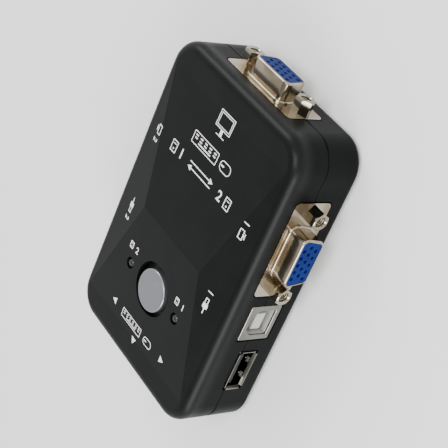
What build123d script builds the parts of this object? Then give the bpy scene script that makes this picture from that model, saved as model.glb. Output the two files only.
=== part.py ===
from build123d import *
import os
from math import atan2, degrees

# A two-computer keyboard, video and mouse switch: a small two-part plastic box with sockets in
# three kinds round its walls and one push-button on its roof. Millimetres, +Z up, +Y towards the
# monitor socket. The origin is on the table, under the middle of the whole object.

os.makedirs("parts", exist_ok=True)

# ---------------------------------------------------------------- driving dimensions
HOUSING_WIDTH = 62.0
HOUSING_LENGTH = 96.4
RIM_HEIGHT = 23.2  # roof level at the ends of its hips
RIDGE_HEIGHT = 25.0
SEAM_HEIGHT = 11.8
SEAM_GAP = 0.2
SEAM_CHAMFER = 0.25
WALL = 2.0
CORNER_RADIUS = 9.1
RIM_RADIUS = 3.2
UNDERSIDE_RADIUS = 1.8

RIDGE_Y = -2.0
RIDGE_HALF = 15.5  # half the ridge's length
HIP_END_X = HOUSING_WIDTH / 2 - RIM_RADIUS
HIP_END_Y = HOUSING_LENGTH / 2 - CORNER_RADIUS
ROOF_END_Y = HOUSING_LENGTH / 2 - RIM_RADIUS

LIP_WIDTH = 0.9  # locating lip of the lower shell, inside the seam
LIP_HEIGHT = 1.5
LIP_CLEARANCE = 0.1

BOARD_TOP = 5.0
BOARD_THICKNESS = 1.6
BOARD_WIDTH = 57.0
BOARD_LENGTH = 91.6
BOARD_CORNER_RADIUS = 6.4
TAIL_END = 2.6  # level at which soldered tails end under the board

SCREW_X = 24.5
SCREW_Y = 41.0
SCREW_HEAD_RADIUS = 2.5
SCREW_HEAD_HEIGHT = 1.7
SCREW_SHANK_RADIUS = 1.25
SCREW_TIP = 12.6
SCREW_SINK_RADIUS = 2.75
SCREW_SINK_DEPTH = 2.1
PILOT_RADIUS = 1.3
PILOT_END = 13.6
LOWER_BOSS_RADIUS = 4.2
UPPER_BOSS_RADIUS = 3.0
BOARD_CLEARANCE = 0.05
BOSS_OVERRUN = 0.5  # how far the bosses run into the roof, so that they join it
HEAD_FILLET = 0.5
TIP_CHAMFER = 0.5
RECESS_LENGTH = 2.8  # cross recess
RECESS_WIDTH = 0.6
RECESS_DEPTH = 1.0
SHANK_CLEARANCE = 0.35

FOOT_X = 22.0
FOOT_Y = 30.5
FOOT_RADIUS = 4.0
FOOT_PROUD = 1.0
FOOT_SUNK = 0.5
FOOT_CLEARANCE = 0.1
FOOT_FILLET = 0.3

# openings in the walls
VIDEO_END_GAP = 0.45
VIDEO_SIDE_GAP = 0.3
SQUARE_GAP = 0.3
FLAT_GAP = 0.25
OPENING_CORNER_RADIUS = 0.6
CUT_OVERRUN = 1.0  # how far a cut starts outside the face that it goes into

# 15-pin video socket
COLLAR_WIDTH = 16.4
COLLAR_HEIGHT = 7.9
COLLAR_SIDE_ANGLE = 80.0
COLLAR_CORNER_RADIUS = 1.9
COLLAR_WALL = 0.6
COLLAR_REACH = 5.9  # how far the collar stands out of the wall
BEAD_WIDTH = 0.8
BEAD_HEIGHT = 0.7
BEAD_FILLET = 0.4
COLLAR_RIM_FILLET = 0.5
FLANGE_WIDTH = 30.8
FLANGE_HEIGHT = 12.5
FLANGE_THICKNESS = 0.8
FLANGE_CORNER_RADIUS = 1.4
POST_SPACING = 24.99
POST_FLATS = 4.75
POST_LENGTH = 4.8
POST_BORE_RADIUS = 1.42
POST_BORE_DEPTH = 4.2
POST_NOSE = 0.55
POST_LAND = 0.15  # the nose ends this much inside the flats
POST_SINK = 0.35  # countersink at the mouth of the bore
STUD_RADIUS = 1.4
STUD_LENGTH = 6.4
STUD_HOLE_RADIUS = 1.7
BLOCK_WIDTH = 17.6  # insulator behind the flange
BLOCK_HEIGHT = 9.2
BLOCK_DEPTH = 4.2
INSULATOR_CLEARANCE = 0.05
INSULATOR_RECESS = 0.1
TOWER_WIDTH = 5.3
TOWER_HEIGHT = 11.8
TOWER_DEPTH = 6.4
TOWER_CORNER_RADIUS = 1.2
TOWER_BORE_DEPTH = 10.0
FOOT_BAR_FRONT = 4.3  # behind the flange
FOOT_BAR_DEPTH = 7.6
FOOT_BAR_HEIGHT = 1.4
PIN_SLOT = 0.7
VIDEO_CENTRE = BOARD_TOP + 6.56
VIDEO_PITCH = 2.29
VIDEO_ROW_PITCH = 1.98
VIDEO_HOLE_RADIUS = 0.5
VIDEO_HOLE_DEPTH = 20.0
VIDEO_HOLE_CHAMFER = 0.15
VIDEO_PIN = 0.5
VIDEO_PIN_FRONT = 4.2  # how far the contacts run into the collar
VIDEO_RUN_BACK = 11.4  # of the top row; each row below turns down this much sooner:
VIDEO_ROW_STEP = 2.0
SIDE_VIDEO_Y = 16.7

# square computer socket
SQUARE_WIDTH = 12.04
SQUARE_HEIGHT = 10.9
SQUARE_DEPTH = 16.0
SQUARE_PLUG_WIDTH = 8.45
SQUARE_PLUG_HEIGHT = 7.78
SQUARE_PLUG_CHAMFER = 2.0
SQUARE_PLUG_DEPTH = 9.0
SQUARE_CENTRE = BOARD_TOP + SQUARE_HEIGHT / 2
SQUARE_Y = -8.5
SQUARE_CORNER_RADIUS = 0.6
SQUARE_FRONT = 0.6  # thickness of the front frame
SQUARE_OUTER_FILLET = 0.35
SQUARE_INNER_FILLET = 0.3
SQUARE_TONGUE_WIDTH = 5.6
SQUARE_TONGUE_HEIGHT = 3.2
SQUARE_TONGUE_SUNK = 0.9
SQUARE_PIN_X = 1.25
SQUARE_PIN_Y = 1.725
SQUARE_RUN_BACK = 16.9
SQUARE_ROW_STEP = 0.6
SQUARE_PIN_FRONT = 1.8
SHEET = 0.35
MOULDING_CLEARANCE = 0.05
TONGUE_FILLET = 0.4
PLUG_PIN_WIDTH = 1.0
PLUG_PIN_THICKNESS = 0.25
PLUG_SLOT_WIDTH = 1.1
PLUG_SLOT_HEIGHT = 0.35

# flat console socket
FLAT_WIDTH = 13.14
FLAT_HEIGHT = 5.72
FLAT_SHEET = 0.3
FLAT_DEPTH = 13.7
FLAT_CORNER_RADIUS = 0.5
FLAT_INNER_RADIUS = 0.25
FLAT_FLARE = 0.38
FLAT_FLARE_DEPTH = 0.6
FLAT_PROUD = 0.3
FLAT_NOTCH = 1.6
FLAT_NOTCH_SPREAD = 0.6
FLAT_CENTRE = BOARD_TOP + 4.4
FLAT_Y = -25.8
FLAT_PIN_X = (-3.5, -1.0, 1.0, 3.5)
FLAT_PIN_Y = 0.325
FLAT_RUN_BACK = 16.0
FLAT_PIN_FRONT = 1.6
FLAT_TONGUE_WIDTH = 11.1
FLAT_TONGUE_HEIGHT = 1.84
FLAT_TONGUE_Y = 1.37
FLAT_TONGUE_SUNK = 0.8
FLAT_TONGUE_FILLET = 0.3
FLAT_BLOCK_FRONT = 9.8
FLAT_BLOCK_BACK = 15.2
FLAT_FOOT_FRONT = 3.2
FLAT_FOOT_CLEARANCE = 0.03
SPRING_X = 2.75
SPRING_WIDTH = 1.8
SPRING_REACH = {1: 0.24, -1: 0.45}  # how far the upper and lower springs stand into the mouth
SPRING_STATIONS = (0.9, 1.7, 2.7, 5.6)  # depths where a spring starts, crests, falls and ends
DIMPLE_RADIUS = 0.36
DIMPLE_DEPTH = 2.2
DIMPLE_SUNK = 0.16

# push-button and its tactile switch
BUTTON_Y = -20.6
BUTTON_RADIUS = 6.45
BUTTON_TOP = 24.45
BUTTON_FILLET = 0.5
BUTTON_WALL = 1.0
BUTTON_CROWN = 1.1
BUTTON_HOLE_Y = -20.15  # the switch sits a little off the middle of the hole
BUTTON_HOLE_RADIUS = 8.15
GUIDE_BOTTOM = 18.2  # round guide under the roof, which keeps the stem's flange in line
GUIDE_HEIGHT = 4.6
GUIDE_WALL = 1.0
GUIDE_CLEARANCE = 0.25
ROOF_CUT = 8.0
STEM_FLANGE_RADIUS = 9.15
STEM_FLANGE_TOP = 21.5
STEM_FLANGE_THICKNESS = 1.2
STEM_RADIUS = 2.7
STEM_SOCKET_DEPTH = 2.0
HUB_CLEARANCE = 0.1
SWITCH_SIZE = 6.2
SWITCH_CORNER_RADIUS = 0.3
SWITCH_BASE_TOP = 8.5
SWITCH_WELL_GAP = 0.45
SWITCH_FRAME_SHEET = 0.3
SWITCH_TAB_WIDTH = 2.4
SWITCH_TAB_DROP = 1.6
SWITCH_LEG_X = SWITCH_SIZE + 0.5
SWITCH_LEG_Y = 4.5
SWITCH_LEG_TOP = 6.4
SWITCH_LEG_WIDTH = 0.7
SWITCH_LEG_THICKNESS = 0.3
SWITCH_LEG_HOLE_RADIUS = 0.5
PLUNGER_RADIUS = 1.75
PLUNGER_TOP = 14.5
PLUNGER_FLANGE_REACH = 0.3
PLUNGER_FLANGE_TOP = SWITCH_BASE_TOP - 0.02
PLUNGER_FLANGE_THICKNESS = 0.6
RUNNING_CLEARANCE = 0.05
DOME_RADIUS = 1.9
DOME_THICKNESS = 0.1
DOME_FOOT = 7.0
DOME_CLEARANCE = 0.02

LED_X = 13.0
LED_Y = -20.5
LED_RADIUS = 1.5
LED_TOP = 24.15
LED_HOLE_RADIUS = 1.8
LED_FLANGE_RADIUS = 1.9
LED_FLANGE_THICKNESS = 1.0
LED_LENGTH = 5.3
LED_LEAD_PITCH = 2.54
LED_LEAD = 0.5
LED_LEAD_HOLE_RADIUS = 0.45

# holes for soldered tails
VIDEO_DRILL_RADIUS = 0.45
PLUG_DRILL_RADIUS = 0.62

# components on the board
CHIP_STANDOFF = 0.15
CHIP_CHAMFER = 0.25
DIMPLE_INSET = 1.1  # first-pin dimple
FIRST_PIN_RADIUS = 0.4
FIRST_PIN_DEPTH = 0.1
LONG_CHIP = (10.2, 5.3, 1.75)
SMALL_CHIP = (9.9, 3.9, 1.5)
LONG_CHIP_LEADS = (14, 0.65)  # number on a side and pitch
SMALL_CHIP_LEADS = (8, 1.27)
LEAD_WIDTH = 0.3
LEAD_THICKNESS = 0.15
LEAD_SHOULDER = 0.8
LEAD_FOOT = 0.7
CONTROLLER_PLACE = (-7.2, -1.5)
HUB_PLACE = (7.2, -1.5)
VIDEO_SWITCH_PLACES = [(0, 9.0), (0, 17.0), (0, 25.0)]
CAPACITOR_PLACES = [(-11.5, 9.0), (11.5, 9.0), (-11.5, 26.0), (11.5, 26.0)]
CAPACITOR_RADIUS = 2.5
CAPACITOR_HEIGHT = 7.0
CAN_FILLET = 0.4
CRYSTAL_PLACE = (0, -10.5)
CRYSTAL_LENGTH = 11.0
CRYSTAL_WIDTH = 4.4
CRYSTAL_HEIGHT = 3.4
CRYSTAL_FLANGE = 0.3
CRYSTAL_FLANGE_THICKNESS = 0.4
RESISTOR_PLACE = (0, 17.0)
RESISTOR_GRID = (22.0, 2.4, 2, 4)
RESISTOR_SIZE = (2.0, 1.25)
RESISTOR_HEIGHT = 0.6

# The whole object's middle lies between the monitor socket's collar and the opposite socket's lip.
HOUSING_Y = (FLAT_PROUD - COLLAR_REACH) / 2


# ---------------------------------------------------------------- places
def level(height):
    """Horizontal plane over the middle of the housing, at a height above its underside."""
    return Plane((0, HOUSING_Y, FOOT_PROUD + height))


def socket_plane(outward, along, height):
    """Plane on a wall: x along the wall, y up, z out of the housing."""
    out = Vector(*outward)
    reach = Vector(out.X * HOUSING_WIDTH / 2, out.Y * HOUSING_LENGTH / 2, 0)
    shift = Vector(0, along, 0) if out.X else Vector(along, 0, 0)
    centre = Vector(0, HOUSING_Y, FOOT_PROUD + height) + reach + shift
    return Plane(origin=centre, x_dir=Vector(0, 0, 1).cross(out), z_dir=out)


def profile_plane(socket, along):
    """Plane across a socket: x out of the housing, y up, at a distance along the wall."""
    origin = socket.from_local_coords((along, 0, 0))
    return Plane(origin=origin, x_dir=socket.z_dir, z_dir=-socket.x_dir)


def drill_plane(socket):
    """Plane on the circuit board under a socket: x along the wall, y inwards from it."""
    foot = (socket.origin.X, socket.origin.Y, FOOT_PROUD + BOARD_TOP)
    return Plane(origin=foot, x_dir=socket.x_dir, z_dir=(0, 0, 1))


RIGHT, LEFT, MONITOR_END, BUTTON_END = (1, 0, 0), (-1, 0, 0), (0, 1, 0), (0, -1, 0)

VIDEO_SOCKETS = {
    "monitor_socket": socket_plane(MONITOR_END, 0, VIDEO_CENTRE),
    "port_1_video": socket_plane(RIGHT, SIDE_VIDEO_Y, VIDEO_CENTRE),
    "port_2_video": socket_plane(LEFT, SIDE_VIDEO_Y, VIDEO_CENTRE),
}
SQUARE_SOCKETS = {
    "port_1_host": socket_plane(RIGHT, SQUARE_Y, SQUARE_CENTRE),
    "port_2_host": socket_plane(LEFT, SQUARE_Y, SQUARE_CENTRE),
}
FLAT_SOCKETS = {
    "right_console": socket_plane(RIGHT, FLAT_Y, FLAT_CENTRE),
    "left_console": socket_plane(LEFT, FLAT_Y, FLAT_CENTRE),
    "end_console": socket_plane(BUTTON_END, 0, FLAT_CENTRE),
}


def keep(builder, name):
    """Label a finished piece and write it to its own file."""
    builder.part.label = name
    export_step(builder.part, f"parts/{name}.step")


# ---------------------------------------------------------------- housing
def roof_panels():
    """The four planes of the shallow hip roof, each facing up and outwards."""
    ridge = Vector(0, HOUSING_Y + RIDGE_Y, FOOT_PROUD + RIDGE_HEIGHT)
    rise = RIDGE_HEIGHT - RIM_HEIGHT
    panels = []
    for sign in (1, -1):
        run_y = HIP_END_Y - sign * RIDGE_Y
        panels.append(Plane(ridge, x_dir=(1, 0, 0), z_dir=(0, sign * rise, run_y)))
        apex = ridge + Vector(sign * RIDGE_HALF, 0, 0)
        run_x = HIP_END_X - RIDGE_HALF
        panels.append(Plane(apex, x_dir=(0, 1, 0), z_dir=(sign * rise, 0, run_x)))
    return panels


def roofed_block(inset, bottom):
    """The housing's upper form as a solid block, inset evenly from its outer faces."""
    rim = RIM_HEIGHT - inset
    with BuildPart() as roof:
        with BuildSketch(level(rim - CUT_OVERRUN)):
            RectangleRounded(2 * HIP_END_X, 2 * ROOF_END_Y, CORNER_RADIUS - RIM_RADIUS)
        extrude(amount=RIDGE_HEIGHT - RIM_HEIGHT + 2 * CUT_OVERRUN)
        for panel in roof_panels():
            split(bisect_by=panel.offset(-inset), keep=Keep.BOTTOM)
    with BuildPart() as block:
        with BuildSketch(level(bottom)):
            RectangleRounded(
                HOUSING_WIDTH - 2 * inset, HOUSING_LENGTH - 2 * inset, CORNER_RADIUS - inset
            )
        extrude(amount=rim - bottom)
        fillet(block.faces().sort_by(Axis.Z)[-1].edges(), RIM_RADIUS - inset)
        add(roof.part)
    return block.part


def wall_openings():
    """Sketch plane, width, height and corner radius of each opening in the housing's walls."""
    for socket in VIDEO_SOCKETS.values():
        width = FLANGE_WIDTH + 2 * VIDEO_END_GAP
        height = FLANGE_HEIGHT + 2 * VIDEO_SIDE_GAP
        yield socket, width, height, FLANGE_CORNER_RADIUS + VIDEO_SIDE_GAP
    for socket in SQUARE_SOCKETS.values():
        width = SQUARE_WIDTH + 2 * SQUARE_GAP
        yield socket, width, SQUARE_HEIGHT + 2 * SQUARE_GAP, OPENING_CORNER_RADIUS
    for socket in FLAT_SOCKETS.values():
        spread = 2 * (FLAT_FLARE + FLAT_GAP)
        yield socket, FLAT_WIDTH + spread, FLAT_HEIGHT + spread, OPENING_CORNER_RADIUS


def screw_places():
    """The four case screws."""
    return GridLocations(2 * SCREW_X, 2 * SCREW_Y, 2, 2)


def make_top_cover():
    """Upper shell: walls, hip roof, button hole with its guide collar, and four screw bosses."""
    bottom = SEAM_HEIGHT + SEAM_GAP / 2
    outer = roofed_block(0, bottom)
    hollow = roofed_block(WALL, bottom - CUT_OVERRUN)
    boss_bottom = BOARD_TOP + BOARD_CLEARANCE
    with BuildPart() as cover:
        add(outer)
        chamfer(cover.faces().sort_by(Axis.Z)[0].edges(), SEAM_CHAMFER)
        add(hollow, mode=Mode.SUBTRACT)
        with BuildSketch(level(bottom)):
            inset = WALL - LIP_WIDTH - LIP_CLEARANCE
            RectangleRounded(
                HOUSING_WIDTH - 2 * inset, HOUSING_LENGTH - 2 * inset, CORNER_RADIUS - inset
            )
        extrude(amount=LIP_HEIGHT + LIP_CLEARANCE, mode=Mode.SUBTRACT)
        with BuildSketch(level(boss_bottom)):
            with screw_places():
                Circle(UPPER_BOSS_RADIUS)
        extrude(amount=RIM_HEIGHT - WALL + BOSS_OVERRUN - boss_bottom)
        with BuildSketch(level(boss_bottom)):
            with screw_places():
                Circle(PILOT_RADIUS)
        extrude(amount=PILOT_END - boss_bottom, mode=Mode.SUBTRACT)
        with BuildSketch(level(GUIDE_BOTTOM)):
            with Locations((0, BUTTON_Y)):
                Circle(STEM_FLANGE_RADIUS + GUIDE_CLEARANCE + GUIDE_WALL)
        extrude(amount=GUIDE_HEIGHT)
        with BuildSketch(level(GUIDE_BOTTOM)):
            with Locations((0, BUTTON_Y)):
                Circle(STEM_FLANGE_RADIUS + GUIDE_CLEARANCE)
        extrude(amount=STEM_FLANGE_TOP + HUB_CLEARANCE - GUIDE_BOTTOM, mode=Mode.SUBTRACT)
        with BuildSketch(level(GUIDE_BOTTOM)):
            with Locations((0, BUTTON_HOLE_Y)):
                Circle(BUTTON_HOLE_RADIUS)
            with Locations((LED_X, LED_Y), (-LED_X, LED_Y)):
                Circle(LED_HOLE_RADIUS)
        extrude(amount=ROOF_CUT, mode=Mode.SUBTRACT)
        for socket, width, height, radius in wall_openings():
            with BuildSketch(socket.offset(CUT_OVERRUN)):
                RectangleRounded(width, height, radius)
            extrude(amount=-(CUT_OVERRUN + WALL + LIP_CLEARANCE), mode=Mode.SUBTRACT)
    return cover


def make_bottom_cover():
    """Lower shell: floor, walls, locating lip, screw bosses and shallow beds for the feet."""
    top = SEAM_HEIGHT - SEAM_GAP / 2
    with BuildPart() as cover:
        with BuildSketch(level(0)):
            RectangleRounded(HOUSING_WIDTH, HOUSING_LENGTH, CORNER_RADIUS)
        extrude(amount=top)
        fillet(cover.faces().sort_by(Axis.Z)[0].edges(), UNDERSIDE_RADIUS)
        chamfer(cover.faces().sort_by(Axis.Z)[-1].edges(), SEAM_CHAMFER)
        with BuildSketch(level(top)):
            inset = WALL - LIP_WIDTH
            RectangleRounded(
                HOUSING_WIDTH - 2 * inset, HOUSING_LENGTH - 2 * inset, CORNER_RADIUS - inset
            )
        extrude(amount=LIP_HEIGHT)
        with BuildSketch(level(WALL)):
            RectangleRounded(
                HOUSING_WIDTH - 2 * WALL, HOUSING_LENGTH - 2 * WALL, CORNER_RADIUS - WALL
            )
        extrude(amount=top + LIP_HEIGHT, mode=Mode.SUBTRACT)
        with BuildSketch(level(WALL)):
            with screw_places():
                Circle(LOWER_BOSS_RADIUS)
        extrude(amount=BOARD_TOP - BOARD_THICKNESS - WALL)
        with BuildSketch(level(0)):
            with screw_places():
                Circle(SCREW_SINK_RADIUS)
        extrude(amount=SCREW_SINK_DEPTH, mode=Mode.SUBTRACT)
        with BuildSketch(level(0)):
            with screw_places():
                Circle(SCREW_SHANK_RADIUS + SHANK_CLEARANCE)
        extrude(amount=BOARD_TOP, mode=Mode.SUBTRACT)
        with BuildSketch(level(0)):
            with GridLocations(2 * FOOT_X, 2 * FOOT_Y, 2, 2):
                Circle(FOOT_RADIUS + FOOT_CLEARANCE)
        extrude(amount=FOOT_SUNK, mode=Mode.SUBTRACT)
        for socket, width, height, radius in wall_openings():
            with BuildSketch(socket.offset(CUT_OVERRUN)):
                RectangleRounded(width, height, radius)
            extrude(amount=-(CUT_OVERRUN + WALL + LIP_CLEARANCE), mode=Mode.SUBTRACT)
    return cover


def make_case_screws():
    """Four cross-recess tapping screws, driven from below through the board into the roof."""
    head_bottom = SCREW_SINK_DEPTH - SCREW_HEAD_HEIGHT
    with BuildPart() as screws:
        with BuildSketch(level(head_bottom)):
            with screw_places():
                Circle(SCREW_HEAD_RADIUS)
        extrude(amount=SCREW_HEAD_HEIGHT)
        fillet(screws.edges().group_by(Axis.Z)[0], HEAD_FILLET)
        with BuildSketch(level(SCREW_SINK_DEPTH)):
            with screw_places():
                Circle(SCREW_SHANK_RADIUS)
        extrude(amount=SCREW_TIP - SCREW_SINK_DEPTH)
        chamfer(screws.edges().group_by(Axis.Z)[-1], TIP_CHAMFER)
        with BuildSketch(level(head_bottom)):
            with screw_places():
                Rectangle(RECESS_LENGTH, RECESS_WIDTH)
                Rectangle(RECESS_WIDTH, RECESS_LENGTH)
        extrude(amount=RECESS_DEPTH, mode=Mode.SUBTRACT)
    return screws


def make_feet():
    """Four stick-on rubber feet."""
    with BuildPart() as feet:
        with BuildSketch(level(-FOOT_PROUD)):
            with GridLocations(2 * FOOT_X, 2 * FOOT_Y, 2, 2):
                Circle(FOOT_RADIUS)
        extrude(amount=FOOT_PROUD + FOOT_SUNK)
        fillet(feet.edges().group_by(Axis.Z)[0], FOOT_FILLET)
    return feet


# ---------------------------------------------------------------- contacts and the circuit board
def video_pins():
    """Place in the face and run-back of the 15 contacts; higher rows turn down further in."""
    for row in range(3):
        stagger = VIDEO_PITCH / 4 if row == 1 else -VIDEO_PITCH / 4
        for column in range(5):
            x = (column - 2) * VIDEO_PITCH + stagger
            y = (1 - row) * VIDEO_ROW_PITCH
            yield x, y, VIDEO_RUN_BACK - VIDEO_ROW_STEP * row


def square_pins():
    """Two contacts on each wide side of the tongue; the upper pair turns down further in."""
    for x in (-SQUARE_PIN_X, SQUARE_PIN_X):
        for side in (1, -1):
            yield x, side * SQUARE_PIN_Y, SQUARE_RUN_BACK + SQUARE_ROW_STEP * side


def flat_pins():
    """Four contacts under the tongue."""
    for x in FLAT_PIN_X:
        yield x, FLAT_PIN_Y, FLAT_RUN_BACK


def make_contacts(socket, pins, width, thickness, front, centre):
    """Contacts that run back along a socket and turn down through the circuit board."""
    with BuildPart() as contacts:
        for x, y, back in pins:
            with BuildSketch(socket.offset(-front)):
                with Locations((x, y)):
                    Rectangle(width, thickness)
            extrude(amount=front - back)
            top = y + thickness / 2
            end = TAIL_END - centre
            with BuildSketch(socket.offset(-back)):
                with Locations((x, (top + end) / 2)):
                    Rectangle(width, top - end)
            extrude(amount=thickness)
    return contacts


def drill_fields():
    """Drilling plane, pins, contact thickness and hole radius for each socket."""
    for socket in VIDEO_SOCKETS.values():
        yield drill_plane(socket), video_pins(), VIDEO_PIN, VIDEO_DRILL_RADIUS
    for socket in SQUARE_SOCKETS.values():
        yield drill_plane(socket), square_pins(), PLUG_PIN_THICKNESS, PLUG_DRILL_RADIUS
    for socket in FLAT_SOCKETS.values():
        yield drill_plane(socket), flat_pins(), PLUG_PIN_THICKNESS, PLUG_DRILL_RADIUS


def make_circuit_board():
    """The board, with its screw holes and a hole for every soldered tail."""
    with BuildPart() as board:
        with BuildSketch(level(BOARD_TOP - BOARD_THICKNESS)):
            RectangleRounded(BOARD_WIDTH, BOARD_LENGTH, BOARD_CORNER_RADIUS)
            with screw_places():
                Circle(SCREW_SHANK_RADIUS + SHANK_CLEARANCE, mode=Mode.SUBTRACT)
            with Locations((0, BUTTON_Y)):
                with GridLocations(SWITCH_LEG_X, SWITCH_LEG_Y, 2, 2):
                    Circle(SWITCH_LEG_HOLE_RADIUS, mode=Mode.SUBTRACT)
            with Locations((LED_X, LED_Y), (-LED_X, LED_Y)):
                with GridLocations(LED_LEAD_PITCH, 0, 2, 1):
                    Circle(LED_LEAD_HOLE_RADIUS, mode=Mode.SUBTRACT)
        extrude(amount=BOARD_THICKNESS)
        for plane, pins, thickness, radius in drill_fields():
            with BuildSketch(plane):
                with Locations(*[(x, back - thickness / 2) for x, y, back in pins]):
                    Circle(radius)
            extrude(amount=-BOARD_THICKNESS, mode=Mode.SUBTRACT)
    return board


# ---------------------------------------------------------------- 15-pin video socket
def collar_outline(grow):
    """The collar's D outline, wide side up, grown evenly."""
    with BuildSketch() as outline:
        Trapezoid(COLLAR_WIDTH, COLLAR_HEIGHT, COLLAR_SIDE_ANGLE, rotation=180)
        fillet(outline.vertices(), COLLAR_CORNER_RADIUS)
        if grow:
            offset(amount=grow)
    return outline.sketch


COLLAR_OUTER = collar_outline(0)
COLLAR_INNER = collar_outline(-COLLAR_WALL)
COLLAR_BEAD = collar_outline(BEAD_WIDTH)
INSULATOR_OUTLINE = collar_outline(-COLLAR_WALL - INSULATOR_CLEARANCE)


def make_video_shell(socket):
    """Nickel-plated front: flange, drawn bead and D-shaped collar."""
    with BuildPart() as shell:
        with BuildSketch(socket.offset(-FLANGE_THICKNESS)):
            RectangleRounded(FLANGE_WIDTH, FLANGE_HEIGHT, FLANGE_CORNER_RADIUS)
        extrude(amount=FLANGE_THICKNESS)
        with BuildSketch(socket):
            add(COLLAR_BEAD)
        extrude(amount=BEAD_HEIGHT)
        fillet(shell.faces().sort_by(Axis(socket.origin, socket.z_dir))[-1].edges(), BEAD_FILLET)
        with BuildSketch(socket):
            add(COLLAR_OUTER)
        extrude(amount=COLLAR_REACH)
        rim = shell.faces().sort_by(Axis(socket.origin, socket.z_dir))[-1].edges()
        fillet(rim, COLLAR_RIM_FILLET)
        with BuildSketch(socket.offset(-FLANGE_THICKNESS)):
            add(COLLAR_INNER)
            with GridLocations(POST_SPACING, 0, 2, 1):
                Circle(STUD_HOLE_RADIUS)
        extrude(amount=FLANGE_THICKNESS + COLLAR_REACH, mode=Mode.SUBTRACT)
    return shell


def make_video_insulator(socket):
    """Blue moulding that fills the collar and carries the 15 contacts."""
    with BuildPart() as insulator:
        with BuildSketch(socket.offset(-FLANGE_THICKNESS)):
            add(INSULATOR_OUTLINE)
        extrude(amount=FLANGE_THICKNESS + COLLAR_REACH - INSULATOR_RECESS)
        with BuildSketch(socket.offset(-FLANGE_THICKNESS - BLOCK_DEPTH)):
            Rectangle(BLOCK_WIDTH, BLOCK_HEIGHT)
        extrude(amount=BLOCK_DEPTH)
        with BuildSketch(socket.offset(COLLAR_REACH)):
            with Locations(*[(x, y) for x, y, back in video_pins()]):
                Circle(VIDEO_HOLE_RADIUS)
        extrude(amount=-VIDEO_HOLE_DEPTH, mode=Mode.SUBTRACT)
        front = insulator.faces().sort_by(Axis(socket.origin, socket.z_dir))[-1]
        chamfer(front.inner_wires().edges(), VIDEO_HOLE_CHAMFER)
    return insulator


def make_video_bracket(socket):
    """Black rear moulding: two towers behind the flange and a slotted foot bar on the board."""
    floor = BOARD_TOP - VIDEO_CENTRE
    tower_spacing = FLANGE_WIDTH - FLANGE_THICKNESS - TOWER_WIDTH
    with BuildPart() as bracket:
        with BuildSketch(socket.offset(-FLANGE_THICKNESS)):
            with GridLocations(tower_spacing, 0, 2, 1):
                RectangleRounded(TOWER_WIDTH, TOWER_HEIGHT, TOWER_CORNER_RADIUS)
        extrude(amount=-TOWER_DEPTH)
        with BuildSketch(socket.offset(-FLANGE_THICKNESS - FOOT_BAR_FRONT)):
            with Locations((0, floor + FOOT_BAR_HEIGHT / 2)):
                Rectangle(FLANGE_WIDTH, FOOT_BAR_HEIGHT)
        extrude(amount=-FOOT_BAR_DEPTH)
        with BuildSketch(socket):
            with GridLocations(POST_SPACING, 0, 2, 1):
                Circle(STUD_HOLE_RADIUS)
        extrude(amount=-TOWER_BORE_DEPTH, mode=Mode.SUBTRACT)
        with BuildSketch(drill_plane(socket)):
            with Locations(*[(x, back - VIDEO_PIN / 2) for x, y, back in video_pins()]):
                Rectangle(PIN_SLOT, PIN_SLOT)
        extrude(amount=FOOT_BAR_HEIGHT + CUT_OVERRUN, mode=Mode.SUBTRACT)
    return bracket


def make_jack_posts(socket):
    """Two hexagon posts with threaded bores, their studs through the flange into the towers."""
    x = POST_SPACING / 2
    across = profile_plane(socket, x)
    axis = Axis(across.origin, socket.z_dir)
    nose_radius = POST_FLATS / 2 - POST_LAND
    mouth_radius = POST_BORE_RADIUS + POST_SINK
    with BuildPart() as posts:
        with BuildSketch(socket):
            with Locations((x, 0)):
                RegularPolygon(POST_FLATS / 2, 6, major_radius=False)
        extrude(amount=POST_LENGTH)
        with BuildSketch(across):
            with BuildLine():
                Polyline(
                    (0, 0),
                    (0, POST_FLATS),
                    (POST_LENGTH - POST_NOSE, POST_FLATS / 2 + POST_NOSE),
                    (POST_LENGTH, nose_radius),
                    (POST_LENGTH, 0),
                    close=True,
                )
            make_face()
        revolve(axis=axis, mode=Mode.INTERSECT)
        with BuildSketch(socket.offset(POST_LENGTH)):
            with Locations((x, 0)):
                Circle(POST_BORE_RADIUS)
        extrude(amount=-POST_BORE_DEPTH, mode=Mode.SUBTRACT)
        with BuildSketch(across):
            with BuildLine():
                Polyline(
                    (POST_LENGTH - POST_SINK, 0),
                    (POST_LENGTH - POST_SINK, POST_BORE_RADIUS),
                    (POST_LENGTH, mouth_radius),
                    (POST_LENGTH, 0),
                    close=True,
                )
            make_face()
        revolve(axis=axis, mode=Mode.SUBTRACT)
        with BuildSketch(socket):
            with Locations((x, 0)):
                Circle(STUD_RADIUS)
        extrude(amount=-STUD_LENGTH)
        mirror(about=Plane(socket.origin, z_dir=socket.x_dir))
    return posts


# ---------------------------------------------------------------- square computer socket
def square_plug_outline():
    """The plug opening with its two upper corners cut off."""
    half_width = SQUARE_PLUG_WIDTH / 2
    half_height = SQUARE_PLUG_HEIGHT / 2
    with BuildSketch() as outline:
        with BuildLine():
            Polyline(
                (-half_width, -half_height),
                (half_width, -half_height),
                (half_width, half_height - SQUARE_PLUG_CHAMFER),
                (half_width - SQUARE_PLUG_CHAMFER, half_height),
                (-half_width + SQUARE_PLUG_CHAMFER, half_height),
                (-half_width, half_height - SQUARE_PLUG_CHAMFER),
                close=True,
            )
        make_face()
    return outline.sketch


SQUARE_OPENING = square_plug_outline()


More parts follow.
